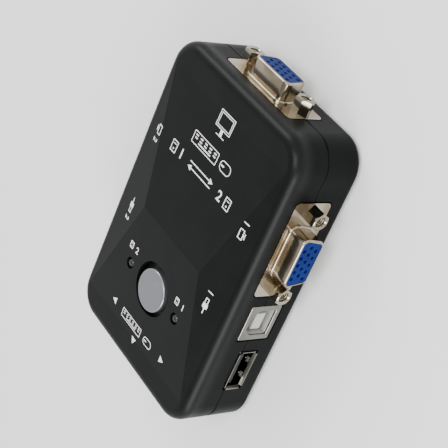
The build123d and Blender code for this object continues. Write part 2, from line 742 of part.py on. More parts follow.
def make_square_shell(socket):
    """Tinned steel shell: folded box and the front frame round the plug opening."""
    with BuildPart() as shell:
        with BuildSketch(socket):
            RectangleRounded(SQUARE_WIDTH, SQUARE_HEIGHT, SQUARE_CORNER_RADIUS)
        extrude(amount=-SQUARE_DEPTH)
        front = shell.faces().sort_by(Axis(socket.origin, socket.z_dir))[-1]
        fillet(front.edges(), SQUARE_OUTER_FILLET)
        with BuildSketch(socket.offset(-SQUARE_FRONT)):
            Rectangle(SQUARE_WIDTH - 2 * SHEET, SQUARE_HEIGHT - 2 * SHEET)
        extrude(amount=SQUARE_FRONT - SQUARE_DEPTH, mode=Mode.SUBTRACT)
        with BuildSketch(socket):
            add(SQUARE_OPENING)
        extrude(amount=-SQUARE_FRONT, mode=Mode.SUBTRACT)
        rim = shell.faces().sort_by(Axis(socket.origin, socket.z_dir))[-1].inner_wires().edges()
        fillet(rim, SQUARE_INNER_FILLET)
    return shell


def make_square_insulator(socket):
    """White moulding that lines the shell, with the tongue that stands in the plug's way."""
    front = SQUARE_FRONT + MOULDING_CLEARANCE
    inner_width = SQUARE_WIDTH - 2 * (SHEET + MOULDING_CLEARANCE)
    inner_height = SQUARE_HEIGHT - 2 * (SHEET + MOULDING_CLEARANCE)
    with BuildPart() as tongue:
        with BuildSketch(socket.offset(-SQUARE_TONGUE_SUNK)):
            Rectangle(SQUARE_TONGUE_WIDTH, SQUARE_TONGUE_HEIGHT)
        extrude(amount=SQUARE_TONGUE_SUNK - SQUARE_PLUG_DEPTH)
        tip = tongue.faces().sort_by(Axis(socket.origin, socket.z_dir))[-1]
        fillet(tip.edges(), TONGUE_FILLET)
    with BuildPart() as insulator:
        with BuildSketch(socket.offset(-front)):
            Rectangle(inner_width, inner_height)
        extrude(amount=front - SQUARE_DEPTH)
        with BuildSketch(socket.offset(-front)):
            add(SQUARE_OPENING)
        extrude(amount=front - SQUARE_PLUG_DEPTH, mode=Mode.SUBTRACT)
        add(tongue.part)
        with BuildSketch(socket.offset(-SQUARE_PLUG_DEPTH)):
            with Locations(*[(x, y) for x, y, back in square_pins()]):
                Rectangle(PLUG_SLOT_WIDTH, PLUG_SLOT_HEIGHT)
        extrude(amount=SQUARE_PLUG_DEPTH - SQUARE_DEPTH, mode=Mode.SUBTRACT)
    return insulator


# ---------------------------------------------------------------- flat console socket
def make_flat_shell(socket):
    """Tinned steel sleeve with a flared mouth, notched corners and four contact springs."""
    mouth = FLAT_PROUD + FLAT_FLARE_DEPTH
    flare_angle = degrees(atan2(FLAT_FLARE, mouth))
    inner_width = FLAT_WIDTH - 2 * FLAT_SHEET
    inner_height = FLAT_HEIGHT - 2 * FLAT_SHEET
    start, rise, fall, end = [-depth for depth in SPRING_STATIONS]
    throat = socket.offset(-FLAT_FLARE_DEPTH)
    with BuildPart() as shell:
        with BuildSketch(throat):
            RectangleRounded(FLAT_WIDTH, FLAT_HEIGHT, FLAT_CORNER_RADIUS)
        extrude(amount=FLAT_FLARE_DEPTH - FLAT_DEPTH)
        with BuildSketch(throat):
            Rectangle(FLAT_WIDTH, FLAT_HEIGHT)
        extrude(amount=mouth, taper=-flare_angle)
        with BuildSketch(throat):
            with GridLocations(
                FLAT_WIDTH + FLAT_NOTCH_SPREAD, FLAT_HEIGHT + FLAT_NOTCH_SPREAD, 2, 2
            ):
                Rectangle(FLAT_NOTCH, FLAT_NOTCH)
        extrude(amount=mouth, mode=Mode.SUBTRACT)
        with BuildSketch(throat):
            RectangleRounded(inner_width, inner_height, FLAT_INNER_RADIUS)
        extrude(amount=FLAT_FLARE_DEPTH - FLAT_DEPTH, mode=Mode.SUBTRACT)
        with BuildSketch(throat):
            Rectangle(inner_width, inner_height)
        extrude(amount=mouth, taper=-flare_angle, mode=Mode.SUBTRACT)
        for x in (-SPRING_X, SPRING_X):
            for side, reach in SPRING_REACH.items():
                root = side * inner_height / 2
                back = root + side * FLAT_SHEET / 2
                crest = root - side * reach
                with BuildSketch(profile_plane(socket, x)):
                    with BuildLine():
                        Polyline(
                            (start, back),
                            (start, root),
                            (rise, crest),
                            (fall, crest),
                            (end, root),
                            (end, back),
                            close=True,
                        )
                    make_face()
                extrude(amount=SPRING_WIDTH / 2, both=True)
            dimple_y = SPRING_REACH[-1] - DIMPLE_SUNK - inner_height / 2
            with Locations(socket.from_local_coords((x, dimple_y, -DIMPLE_DEPTH))):
                Sphere(DIMPLE_RADIUS)
    return shell


def make_flat_tongue(socket):
    """Dark moulding: the tongue in the mouth, a block behind it and a foot under the sleeve."""
    floor = BOARD_TOP - FLAT_CENTRE
    rear_front = FLAT_DEPTH + MOULDING_CLEARANCE
    top = FLAT_HEIGHT / 2 - FLAT_SHEET - MOULDING_CLEARANCE
    foot_top = -FLAT_HEIGHT / 2 - FLAT_FOOT_CLEARANCE
    inner_width = FLAT_WIDTH - 2 * (FLAT_SHEET + MOULDING_CLEARANCE)
    with BuildPart() as tongue:
        with BuildSketch(socket.offset(-FLAT_BLOCK_FRONT)):
            RectangleRounded(inner_width, 2 * top, FLAT_INNER_RADIUS)
        extrude(amount=FLAT_BLOCK_FRONT - FLAT_BLOCK_BACK)
        with BuildSketch(socket.offset(-rear_front)):
            with Locations((0, (top + floor) / 2)):
                Rectangle(inner_width, top - floor)
        extrude(amount=rear_front - FLAT_BLOCK_BACK)
        with BuildSketch(socket.offset(-FLAT_FOOT_FRONT)):
            with Locations((0, (foot_top + floor) / 2)):
                Rectangle(inner_width, foot_top - floor)
        extrude(amount=FLAT_FOOT_FRONT - FLAT_BLOCK_BACK)
        with BuildSketch(socket.offset(-FLAT_BLOCK_FRONT)):
            with Locations((0, FLAT_TONGUE_Y)):
                Rectangle(FLAT_TONGUE_WIDTH, FLAT_TONGUE_HEIGHT)
        extrude(amount=FLAT_BLOCK_FRONT - FLAT_TONGUE_SUNK)
        tip = tongue.faces().sort_by(Axis(socket.origin, socket.z_dir))[-1]
        fillet(tip.edges(), FLAT_TONGUE_FILLET)
        with BuildSketch(socket.offset(-FLAT_BLOCK_FRONT)):
            with Locations(*[(x, y) for x, y, back in flat_pins()]):
                Rectangle(PLUG_SLOT_WIDTH, PLUG_SLOT_HEIGHT)
        extrude(amount=FLAT_BLOCK_FRONT - FLAT_BLOCK_BACK, mode=Mode.SUBTRACT)
    return tongue


# ---------------------------------------------------------------- push-button and lights
def make_button_cap():
    """Silver cap, pressed over the stem's hub."""
    bottom = STEM_FLANGE_TOP
    with BuildPart() as cap:
        with BuildSketch(level(bottom)):
            with Locations((0, BUTTON_Y)):
                Circle(BUTTON_RADIUS)
        extrude(amount=BUTTON_TOP - bottom)
        fillet(cap.edges().group_by(Axis.Z)[-1], BUTTON_FILLET)
        with BuildSketch(level(bottom)):
            with Locations((0, BUTTON_Y)):
                Circle(BUTTON_RADIUS - BUTTON_WALL)
        extrude(amount=BUTTON_TOP - bottom - BUTTON_CROWN, mode=Mode.SUBTRACT)
    return cap


def make_button_stem():
    """Black stem: hub inside the cap, flange that stops under the roof, and a long foot."""
    flange_bottom = STEM_FLANGE_TOP - STEM_FLANGE_THICKNESS
    foot = PLUNGER_TOP - STEM_SOCKET_DEPTH
    with BuildPart() as stem:
        with BuildSketch(level(flange_bottom)):
            with Locations((0, BUTTON_Y)):
                Circle(STEM_FLANGE_RADIUS)
        extrude(amount=STEM_FLANGE_THICKNESS)
        with BuildSketch(level(STEM_FLANGE_TOP)):
            with Locations((0, BUTTON_Y)):
                Circle(BUTTON_RADIUS - BUTTON_WALL - RUNNING_CLEARANCE)
        extrude(amount=BUTTON_TOP - STEM_FLANGE_TOP - BUTTON_CROWN - HUB_CLEARANCE)
        with BuildSketch(level(foot)):
            with Locations((0, BUTTON_Y)):
                Circle(STEM_RADIUS)
        extrude(amount=flange_bottom - foot)
        with BuildSketch(level(foot)):
            with Locations((0, BUTTON_Y)):
                Circle(PLUNGER_RADIUS + RUNNING_CLEARANCE)
        extrude(amount=PLUNGER_TOP - foot, mode=Mode.SUBTRACT)
    return stem


def make_switch_plunger():
    """Plunger of the tactile switch, kept in by its flange under the metal frame."""
    with BuildPart() as plunger:
        with BuildSketch(level(PLUNGER_FLANGE_TOP - PLUNGER_FLANGE_THICKNESS)):
            with Locations((0, BUTTON_Y)):
                Circle(PLUNGER_RADIUS + PLUNGER_FLANGE_REACH)
        extrude(amount=PLUNGER_FLANGE_THICKNESS)
        with BuildSketch(level(PLUNGER_FLANGE_TOP)):
            with Locations((0, BUTTON_Y)):
                Circle(PLUNGER_RADIUS)
        extrude(amount=PLUNGER_TOP - PLUNGER_FLANGE_TOP)
    return plunger


def make_switch_base():
    """Moulded body of the tactile switch, with the round well for dome and plunger."""
    with BuildPart() as base:
        with BuildSketch(level(BOARD_TOP)):
            with Locations((0, BUTTON_Y)):
                RectangleRounded(SWITCH_SIZE, SWITCH_SIZE, SWITCH_CORNER_RADIUS)
        extrude(amount=SWITCH_BASE_TOP - BOARD_TOP)
        with BuildSketch(level(DOME_FOOT)):
            with Locations((0, BUTTON_Y)):
                Circle(PLUNGER_RADIUS + SWITCH_WELL_GAP)
        extrude(amount=SWITCH_BASE_TOP - DOME_FOOT, mode=Mode.SUBTRACT)
    return base


def make_switch_frame():
    """Pressed metal frame over the tactile switch."""
    with BuildPart() as frame:
        with BuildSketch(level(SWITCH_BASE_TOP)):
            with Locations((0, BUTTON_Y)):
                RectangleRounded(SWITCH_SIZE, SWITCH_SIZE, SWITCH_CORNER_RADIUS)
                Circle(PLUNGER_RADIUS + RUNNING_CLEARANCE, mode=Mode.SUBTRACT)
        extrude(amount=SWITCH_FRAME_SHEET)
        with BuildSketch(level(SWITCH_BASE_TOP - SWITCH_TAB_DROP)):
            with Locations((0, BUTTON_Y)):
                with GridLocations(0, SWITCH_SIZE + SWITCH_FRAME_SHEET, 1, 2):
                    Rectangle(SWITCH_TAB_WIDTH, SWITCH_FRAME_SHEET)
        extrude(amount=SWITCH_TAB_DROP + SWITCH_FRAME_SHEET)
    return frame


def make_switch_dome():
    """Domed snap spring under the plunger, a shallow spherical cap."""
    rise = PLUNGER_FLANGE_TOP - PLUNGER_FLANGE_THICKNESS - DOME_FOOT - DOME_CLEARANCE
    sphere_radius = (DOME_RADIUS**2 + rise**2) / (2 * rise)
    foot = level(DOME_FOOT).from_local_coords((0, BUTTON_Y, 0))
    with BuildPart() as dome:
        with BuildSketch(Plane(foot, x_dir=(1, 0, 0), z_dir=(0, -1, 0))):
            with Locations((0, rise - sphere_radius)):
                Circle(sphere_radius)
                Circle(sphere_radius - DOME_THICKNESS, mode=Mode.SUBTRACT)
            Rectangle(DOME_RADIUS, rise, align=(Align.MIN, Align.MIN), mode=Mode.INTERSECT)
        revolve(axis=Axis(foot, (0, 0, 1)))
    return dome


def make_switch_terminals():
    """Four legs of the tactile switch, soldered through the board."""
    with BuildPart() as terminals:
        with BuildSketch(level(TAIL_END)):
            with Locations((0, BUTTON_Y)):
                with GridLocations(SWITCH_LEG_X, SWITCH_LEG_Y, 2, 2):
                    Rectangle(SWITCH_LEG_THICKNESS, SWITCH_LEG_WIDTH)
        extrude(amount=SWITCH_LEG_TOP - TAIL_END)
    return terminals


def make_led(side):
    """Clear 3 mm lamp body with its foot ring."""
    foot = LED_TOP - LED_LENGTH
    with BuildPart() as led:
        with BuildSketch(level(foot)):
            with Locations((side * LED_X, LED_Y)):
                Circle(LED_RADIUS)
        extrude(amount=LED_LENGTH)
        fillet(led.edges().group_by(Axis.Z)[-1], LED_RADIUS - DOME_CLEARANCE)
        with BuildSketch(level(foot)):
            with Locations((side * LED_X, LED_Y)):
                Circle(LED_FLANGE_RADIUS)
        extrude(amount=LED_FLANGE_THICKNESS)
    return led


def make_led_leads():
    """Leads of both lamps, down through the board."""
    with BuildPart() as leads:
        with BuildSketch(level(TAIL_END)):
            with Locations((LED_X, LED_Y), (-LED_X, LED_Y)):
                with GridLocations(LED_LEAD_PITCH, 0, 2, 1):
                    Rectangle(LED_LEAD, LED_LEAD)
        extrude(amount=LED_TOP - LED_LENGTH - TAIL_END)
    return leads


# ---------------------------------------------------------------- components on the board
def make_chips(places, length, width, height):
    """Moulded chip bodies with a small first-pin dimple."""
    with BuildPart() as chips:
        with BuildSketch(level(BOARD_TOP + CHIP_STANDOFF)):
            with Locations(*places):
                Rectangle(length, width)
        extrude(amount=height)
        chamfer(chips.edges().group_by(Axis.Z)[-1], CHIP_CHAMFER)
        corner_x, corner_y = DIMPLE_INSET - length / 2, DIMPLE_INSET - width / 2
        with BuildSketch(level(BOARD_TOP + CHIP_STANDOFF + height)):
            with Locations(*[(x + corner_x, y + corner_y) for x, y in places]):
                Circle(FIRST_PIN_RADIUS)
        extrude(amount=-FIRST_PIN_DEPTH, mode=Mode.SUBTRACT)
    return chips


def lead_rows(places, length, width, count, pitch):
    """Middle of every lead at a chip's two long sides, with the side's sign."""
    for x, y in places:
        for side in (1, -1):
            for index in range(count):
                yield x + (index - (count - 1) / 2) * pitch, y + side * width / 2, side


def make_chip_leads():
    """Gull-wing leads of all the chips."""
    rows = list(lead_rows([CONTROLLER_PLACE, HUB_PLACE], *LONG_CHIP[:2], *LONG_CHIP_LEADS))
    rows += list(lead_rows(VIDEO_SWITCH_PLACES, *SMALL_CHIP[:2], *SMALL_CHIP_LEADS))
    riser = LEAD_FOOT - LEAD_THICKNESS
    reach = riser + LEAD_THICKNESS / 2
    with BuildPart() as leads:
        with BuildSketch(level(BOARD_TOP)):
            with Locations(*[(x, y + side * (riser + LEAD_FOOT) / 2) for x, y, side in rows]):
                Rectangle(LEAD_WIDTH, LEAD_FOOT)
        extrude(amount=LEAD_THICKNESS)
        with BuildSketch(level(BOARD_TOP)):
            with Locations(*[(x, y + side * riser) for x, y, side in rows]):
                Rectangle(LEAD_WIDTH, LEAD_THICKNESS)
        extrude(amount=LEAD_SHOULDER + LEAD_THICKNESS)
        with BuildSketch(level(BOARD_TOP + LEAD_SHOULDER)):
            with Locations(*[(x, y + side * reach / 2) for x, y, side in rows]):
                Rectangle(LEAD_WIDTH, reach)
        extrude(amount=LEAD_THICKNESS)
    return leads


def make_capacitors():
    """Electrolytic can capacitors."""
    with BuildPart() as cans:
        with BuildSketch(level(BOARD_TOP)):
            with Locations(*CAPACITOR_PLACES):
                Circle(CAPACITOR_RADIUS)
        extrude(amount=CAPACITOR_HEIGHT)
        fillet(cans.edges().group_by(Axis.Z)[-1], CAN_FILLET)
    return cans


def make_crystal():
    """Crystal in its oval metal can."""
    with BuildPart() as crystal:
        with BuildSketch(level(BOARD_TOP)):
            with Locations(CRYSTAL_PLACE):
                SlotOverall(CRYSTAL_LENGTH, CRYSTAL_WIDTH)
        extrude(amount=CRYSTAL_HEIGHT)
        fillet(crystal.edges().group_by(Axis.Z)[-1], CAN_FILLET)
        with BuildSketch(level(BOARD_TOP)):
            with Locations(CRYSTAL_PLACE):
                SlotOverall(
                    CRYSTAL_LENGTH + 2 * CRYSTAL_FLANGE, CRYSTAL_WIDTH + 2 * CRYSTAL_FLANGE
                )
        extrude(amount=CRYSTAL_FLANGE_THICKNESS)
    return crystal


def make_resistors():
    """Small surface-mounted resistors in two rows beside the video chips."""
    with BuildPart() as resistors:
        with BuildSketch(level(BOARD_TOP)):
            with Locations(RESISTOR_PLACE):
                with GridLocations(*RESISTOR_GRID):
                    Rectangle(*RESISTOR_SIZE)
        extrude(amount=RESISTOR_HEIGHT)
    return resistors


# ---------------------------------------------------------------- all the pieces
def main():
    """Build every piece and write it."""
    keep(make_top_cover(), "top_cover")
    keep(make_bottom_cover(), "bottom_cover")
    keep(make_circuit_board(), "circuit_board")
    keep(make_case_screws(), "case_screws")
    keep(make_feet(), "rubber_feet")

    for name, socket in VIDEO_SOCKETS.items():
        keep(make_video_shell(socket), f"{name}_shell")
        keep(make_video_insulator(socket), f"{name}_insulator")
        keep(make_video_bracket(socket), f"{name}_bracket")
        pins = make_contacts(
            socket, video_pins(), VIDEO_PIN, VIDEO_PIN, -VIDEO_PIN_FRONT, VIDEO_CENTRE
        )
        keep(pins, f"{name}_contacts")
        keep(make_jack_posts(socket), f"{name}_posts")

    for name, socket in SQUARE_SOCKETS.items():
        keep(make_square_shell(socket), f"{name}_shell")
        keep(make_square_insulator(socket), f"{name}_insulator")
        pins = make_contacts(
            socket, square_pins(), PLUG_PIN_WIDTH, PLUG_PIN_THICKNESS, SQUARE_PIN_FRONT, SQUARE_CENTRE
        )
        keep(pins, f"{name}_contacts")

    for name, socket in FLAT_SOCKETS.items():
        keep(make_flat_shell(socket), f"{name}_shell")
        keep(make_flat_tongue(socket), f"{name}_tongue")
        pins = make_contacts(
            socket, flat_pins(), PLUG_PIN_WIDTH, PLUG_PIN_THICKNESS, FLAT_PIN_FRONT, FLAT_CENTRE
        )
        keep(pins, f"{name}_contacts")

    keep(make_button_cap(), "button_cap")
    keep(make_button_stem(), "button_stem")
    keep(make_switch_plunger(), "switch_plunger")
    keep(make_switch_base(), "switch_base")
    keep(make_switch_frame(), "switch_frame")
    keep(make_switch_dome(), "switch_dome")
    keep(make_switch_terminals(), "switch_terminals")
    keep(make_led(1), "port_1_light")
    keep(make_led(-1), "port_2_light")
    keep(make_led_leads(), "light_leads")

    keep(make_chips([CONTROLLER_PLACE], *LONG_CHIP), "controller_chip")
    keep(make_chips([HUB_PLACE], *LONG_CHIP), "hub_chip")
    keep(make_chips(VIDEO_SWITCH_PLACES, *SMALL_CHIP), "video_switch_chips")
    keep(make_chip_leads(), "chip_leads")
    keep(make_capacitors(), "can_capacitors")
    keep(make_crystal(), "crystal")
    keep(make_resistors(), "resistors")


main()
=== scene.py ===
"""Looks of a two-computer keyboard, video and mouse switch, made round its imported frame."""

import logging
import math
from dataclasses import dataclass, field
from enum import Enum
from typing import Iterable, Mapping, NamedTuple, Optional, Sequence, Union

import bpy
from mathutils import Matrix, Quaternion, Vector
from mathutils.bvhtree import BVHTree


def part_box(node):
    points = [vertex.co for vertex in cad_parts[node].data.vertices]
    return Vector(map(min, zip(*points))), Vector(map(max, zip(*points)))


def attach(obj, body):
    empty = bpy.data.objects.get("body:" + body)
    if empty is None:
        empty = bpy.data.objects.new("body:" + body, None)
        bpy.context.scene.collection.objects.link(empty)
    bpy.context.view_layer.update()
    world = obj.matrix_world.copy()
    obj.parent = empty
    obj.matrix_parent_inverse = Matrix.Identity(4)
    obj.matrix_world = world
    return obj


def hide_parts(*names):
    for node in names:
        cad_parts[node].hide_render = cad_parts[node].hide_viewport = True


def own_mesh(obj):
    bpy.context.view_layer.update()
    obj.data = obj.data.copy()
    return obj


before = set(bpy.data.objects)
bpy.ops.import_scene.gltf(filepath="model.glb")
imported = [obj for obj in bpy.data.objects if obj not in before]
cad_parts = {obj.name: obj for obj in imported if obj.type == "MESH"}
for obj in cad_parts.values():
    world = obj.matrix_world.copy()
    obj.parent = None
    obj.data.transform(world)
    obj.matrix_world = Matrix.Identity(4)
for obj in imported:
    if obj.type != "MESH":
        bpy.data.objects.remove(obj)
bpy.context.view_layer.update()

MM = 0.001
HOUSING = "housing"
AIM = (15.07 * MM, 14.16 * MM, 24.2 * MM)  # what the camera faces: X, Y past the roof's middle, Z
LOG = logging.getLogger("switch")

Piece = bpy.types.Object
Colour = tuple[float, float, float]
Pair = tuple[float, float]
Number = Union[int, float]


# ---------- shader writing
class Wire:
    """One output of a shader node, which takes part in sums as a number does."""

    def __init__(self, graph: "Graph", socket: Optional[bpy.types.NodeSocket]) -> None:
        """Hold a socket.

        Args:
            graph: the graph that the socket's node stands in.
            socket: the output socket, or None if the node has no output.
        """
        self.graph = graph
        self.socket = socket

    def _sum(self, operation: str, *terms: Union["Wire", Number]) -> "Wire":
        """Add a Math node.

        Args:
            operation: the Math node's operation.
            terms: its inputs in order.

        Returns:
            The node's value.
        """
        return self.graph.node("ShaderNodeMath", {"operation": operation}, dict(enumerate(terms)))

    def __add__(self, other: Union["Wire", Number]) -> "Wire":
        """Sum."""
        return self._sum("ADD", self, other)

    def __radd__(self, other: Number) -> "Wire":
        """Sum, the number first."""
        return self._sum("ADD", other, self)

    def __sub__(self, other: Union["Wire", Number]) -> "Wire":
        """Difference."""
        return self._sum("SUBTRACT", self, other)

    def __mul__(self, other: Union["Wire", Number]) -> "Wire":
        """Product."""
        return self._sum("MULTIPLY", self, other)

    def __pow__(self, other: Number) -> "Wire":
        """Power."""
        return self._sum("POWER", self, other)

    def wave(self) -> "Wire":
        """Sine of the value."""
        return self._sum("SINE", self)

    def ramp(self, low: Number, high: Number) -> "Wire":
        """Rise smoothly from 0 at low to 1 at high.

        Args:
            low: value where the rise starts.
            high: value where it ends.

        Returns:
            The share of the rise, from 0 to 1.
        """
        return self.graph.node(
            "ShaderNodeMapRange",
            {"interpolation_type": "SMOOTHSTEP"},
            {"Value": self, "From Min": low, "From Max": high},
        )


Input = Union[Wire, Number, Sequence[float]]


class Graph:
    """A material's node tree, written from Python expressions."""

    def __init__(self, name: str) -> None:
        """Start an empty material.

        Args:
            name: the material's name.
        """
        self.material = bpy.data.materials.new(name)
        self.material.use_nodes = True
        self.tree = self.material.node_tree
        self.tree.nodes.clear()

    def node(
        self,
        kind: str,
        settings: Optional[Mapping[str, object]] = None,
        inputs: Optional[Mapping[Union[int, str], Input]] = None,
        output: Union[int, str] = 0,
    ) -> Wire:
        """Add a node.

        Args:
            kind: the node's type.
            settings: its own properties, set first.
            inputs: values or wires, by the socket's place, name or identifier.
            output: which output to hand back, by place, name or identifier.

        Returns:
            The chosen output.
        """
        made = self.tree.nodes.new(kind)
        for key, value in (settings or {}).items():
            setattr(made, key, value)
        for key, value in (inputs or {}).items():
            target = self._socket(made.inputs, key)
            if isinstance(value, Wire):
                self.tree.links.new(value.socket, target)
            elif isinstance(value, (int, float)):
                target.default_value = value
            else:
                size = len(target.default_value)
                target.default_value = (*value, 1.0)[:size]
        chosen = self._socket(made.outputs, output) if len(made.outputs) else None
        return Wire(self, chosen)

    @staticmethod
    def _socket(
        sockets: Iterable[bpy.types.NodeSocket], key: Union[int, str]
    ) -> bpy.types.NodeSocket:
        """Find a socket.

        Args:
            sockets: a node's inputs or outputs.
            key: place, identifier or name.

        Returns:
            The socket.
        """
        listed = list(sockets)
        if isinstance(key, int):
            return listed[key]
        found = [s for s in listed if s.identifier == key] or [s for s in listed if s.name == key]
        return found[0]

    def place(self) -> Wire:
        """The point's place on the object.

        Returns:
            The place, in metres.
        """
        return self.node("ShaderNodeTexCoord", output="Object")

    def stretched(self, place: Wire, scale: Sequence[float]) -> Wire:
        """A place scaled along each axis.

        Args:
            place: the place.
            scale: factor along X, Y and Z.

        Returns:
            The scaled place.
        """
        return self.node("ShaderNodeVectorMath", {"operation": "MULTIPLY"}, {0: place, 1: scale})

    def parts(self, place: Wire) -> tuple[Wire, Wire, Wire]:
        """Take a place apart.

        Args:
            place: the place.

        Returns:
            Its X, Y and Z.
        """
        first = self.node("ShaderNodeSeparateXYZ", inputs={0: place})
        outputs = first.socket.node.outputs
        return first, Wire(self, outputs[1]), Wire(self, outputs[2])

    def noise(self, place: Wire, size: float, detail: float = 2.0, rough: float = 0.5) -> Wire:
        """Soft noise.

        Args:
            place: where it is read.
            size: width of its largest blots, in metres.
            detail: how many finer layers it has.
            rough: how strong they are.

        Returns:
            Its value, about 0.5.
        """
        return self.node(
            "ShaderNodeTexNoise",
            inputs={"Vector": place, "Scale": 1 / size, "Detail": detail, "Roughness": rough},
            output="Fac",
        )

    def cells(self, place: Wire, size: float) -> Wire:
        """Distance to the nearest of scattered points.

        Args:
            place: where it is read.
            size: mean distance between the points, in metres.

        Returns:
            The distance, in units of size.
        """
        return self.node(
            "ShaderNodeTexVoronoi", inputs={"Vector": place, "Scale": 1 / size}, output="Distance"
        )

    def mix(self, share: Input, first: Input, second: Input) -> Wire:
        """Blend two colours.

        Args:
            share: 0 for the first, 1 for the second.
            first: a colour.
            second: a colour.

        Returns:
            The blended colour.
        """
        return self.node(
            "ShaderNodeMix",
            {"data_type": "RGBA"},
            {"Factor_Float": share, "A_Color": first, "B_Color": second},
            "Result_Color",
        )

    def bump(self, height: Wire, depth: float, strength: float = 1.0) -> Wire:
        """A normal from a height.

        Args:
            height: the height, from 0 to 1.
            depth: what 1 stands for, in metres.
            strength: how much of it shows.

        Returns:
            The normal.
        """
        return self.node(
            "ShaderNodeBump", inputs={"Height": height, "Distance": depth, "Strength": strength}
        )

    def finish(self, inputs: Mapping[str, Input]) -> bpy.types.Material:
        """Close the graph with the surface shader.

        Args:
            inputs: the shader's sockets by name.

        Returns:
            The material.
        """
        surface = self.node("ShaderNodeBsdfPrincipled", inputs=inputs)
        self.node("ShaderNodeOutputMaterial", inputs={"Surface": surface})
        return self.material


# ---------- finishes
@dataclass(frozen=True)
class Moulding:
    """Injection-moulded plastic with a spark-eroded grain and faint flow mottling."""

    name: str
    colour: Colour
    mottle: Colour
    roughness: float = 0.45
    grain: float = 0.00016
    grain_depth: float = 0.000006
    specular: float = 0.4
    polish: float = 0.0  # weight of the glossy coat over the higher polish level
    polish_levels: Pair = (0.0, 1.0)  # heights over the table between which the coat sets in
    flow_size: float = 0.011
    speck_gap: float = 0.0017
    speck_colour: Colour = (0.35, 0.35, 0.34)
    speck_share: float = 0.06

    def material(self) -> bpy.types.Material:
        """Write the material.

        Returns:
            The material.
        """
        graph = Graph(self.name)
        place = graph.place()
        height = graph.parts(place)[2]
        flow = graph.noise(place, self.flow_size, 3.0)
        grain = graph.noise(place, self.grain, 1.0)
        pits = graph.cells(place, self.grain * 2.2).ramp(0.1, 0.6)
        specks = graph.cells(place, self.speck_gap).ramp(0.07, 0.03)
        colour = graph.mix(flow.ramp(0.35, 0.65), self.colour, self.mottle)
        colour = graph.mix(specks * self.speck_share, colour, self.speck_colour)
        return graph.finish(
            {
                "Base Color": colour,
                "Roughness": self.roughness + (flow - 0.5) * 0.10 + (grain - 0.5) * 0.12,
                "Specular IOR Level": self.specular,
                "Coat Weight": height.ramp(*self.polish_levels) * self.polish,
                "Coat Roughness": self.roughness,
                "Normal": graph.bump(grain * 0.6 + pits * 0.4, self.grain_depth, 0.7),
            }
        )


@dataclass(frozen=True)
class Plate:
    """Plated or tinned sheet metal with rolling streaks and warm clouding."""

    name: str
    bright: Colour
    clouded: Colour
    roughness: float = 0.24
    streak: Colour = (1.0, 1.0, 0.12)  # scale along X, Y and Z, which draws the streaks out
    streak_size: float = 0.00022
    streak_depth: float = 0.0000008
    cloud_size: float = 0.0058
    spot_size: float = 0.0006

    def material(self) -> bpy.types.Material:
        """Write the material.

        Returns:
            The material.
        """
        graph = Graph(self.name)
        place = graph.place()
        cloud = graph.noise(place, self.cloud_size, 1.5, 0.4)
        streaks = graph.noise(graph.stretched(place, self.streak), self.streak_size, 2.0)
        spots = graph.noise(place, self.spot_size, 2.0)
        colour = graph.mix(cloud.ramp(0.36, 0.64), self.bright, self.clouded)
        return graph.finish(
            {
                "Base Color": colour,
                "Metallic": 1.0,
                "Roughness": self.roughness + (cloud - 0.5) * 0.06 + (streaks - 0.5) * 0.06,
                "Normal": graph.bump(streaks * 0.7 + spots * 0.3, self.streak_depth, 0.8),
            }
        )


@dataclass(frozen=True)
class TurnedCap:
    """Satin silver lacquer over a cap, with the faint rings of its turning."""

    name: str
    centre: Pair
    colour: Colour
    worn: Colour
    ring_pitch: float = 0.00035
    flake_size: float = 0.00009
    cloud_size: float = 0.005
    worn_rim: Pair = (0.0058, 0.0065)  # radii between which the wear sets in

    def material(self) -> bpy.types.Material:
        """Write the material.

        Returns:
            The material.
        """
        graph = Graph(self.name)
        place = graph.place()
        across, along, _ = graph.parts(place)
        radius = ((across - self.centre[0]) ** 2 + (along - self.centre[1]) ** 2) ** 0.5
        rings = (radius * (2 * math.pi / self.ring_pitch)).wave() * 0.5 + 0.5
        flakes = graph.noise(place, self.flake_size, 1.0)
        cloud = graph.noise(place, self.cloud_size, 2.0)
        wear = radius.ramp(*self.worn_rim) * 0.5 + cloud.ramp(0.5, 0.8) * 0.2
        return graph.finish(
            {
                "Base Color": graph.mix(wear, self.colour, self.worn),
                "Metallic": 0.85,
                "Roughness": 0.36 + (flakes - 0.5) * 0.14 + (cloud - 0.5) * 0.08,
                "Normal": graph.bump(rings * 0.4 + flakes * 0.6, 0.0000018, 0.6),
            }
        )


@dataclass(frozen=True)
class Lens:
    """Smoky epoxy of a lamp body, a little cloudy."""

    name: str
    tint: Colour
    haze: Colour = (0.040, 0.042, 0.034)
    cloud_size: float = 0.0008

    def material(self) -> bpy.types.Material:
        """Write the material.

        Returns:
            The material.
        """
        graph = Graph(self.name)
        place = graph.place()
        cloud = graph.noise(place, self.cloud_size, 2.0)
        return graph.finish(
            {
                "Base Color": graph.mix(cloud, self.tint, self.haze),
                "Roughness": 0.24 + cloud * 0.12,
                "IOR": 1.50,
                "Transmission Weight": 0.5,
                "Normal": graph.bump(cloud, 0.000004, 0.3),
            }
        )


@dataclass(frozen=True)
class Print:
    """Pad-printed white ink, thin enough for the grain to show through."""

    name: str
    colour: Colour
    thin_colour: Colour = (0.34, 0.34, 0.34)
    thin_size: float = 0.0011
    grain_size: float = 0.00014

    def material(self) -> bpy.types.Material:
        """Write the material.

        Returns:
            The material.
        """
        graph = Graph(self.name)
        place = graph.place()
        grain = graph.noise(place, self.grain_size, 2.0)
        thin = graph.noise(place, self.thin_size, 3.0)
        colour = graph.mix(thin.ramp(0.55, 0.9) * 0.35, self.colour, self.thin_colour)
        return graph.finish(
            {
                "Base Color": colour,
                "Roughness": 0.55 + (grain - 0.5) * 0.2,
                "Normal": graph.bump(grain, 0.000005, 0.5),
            }
        )


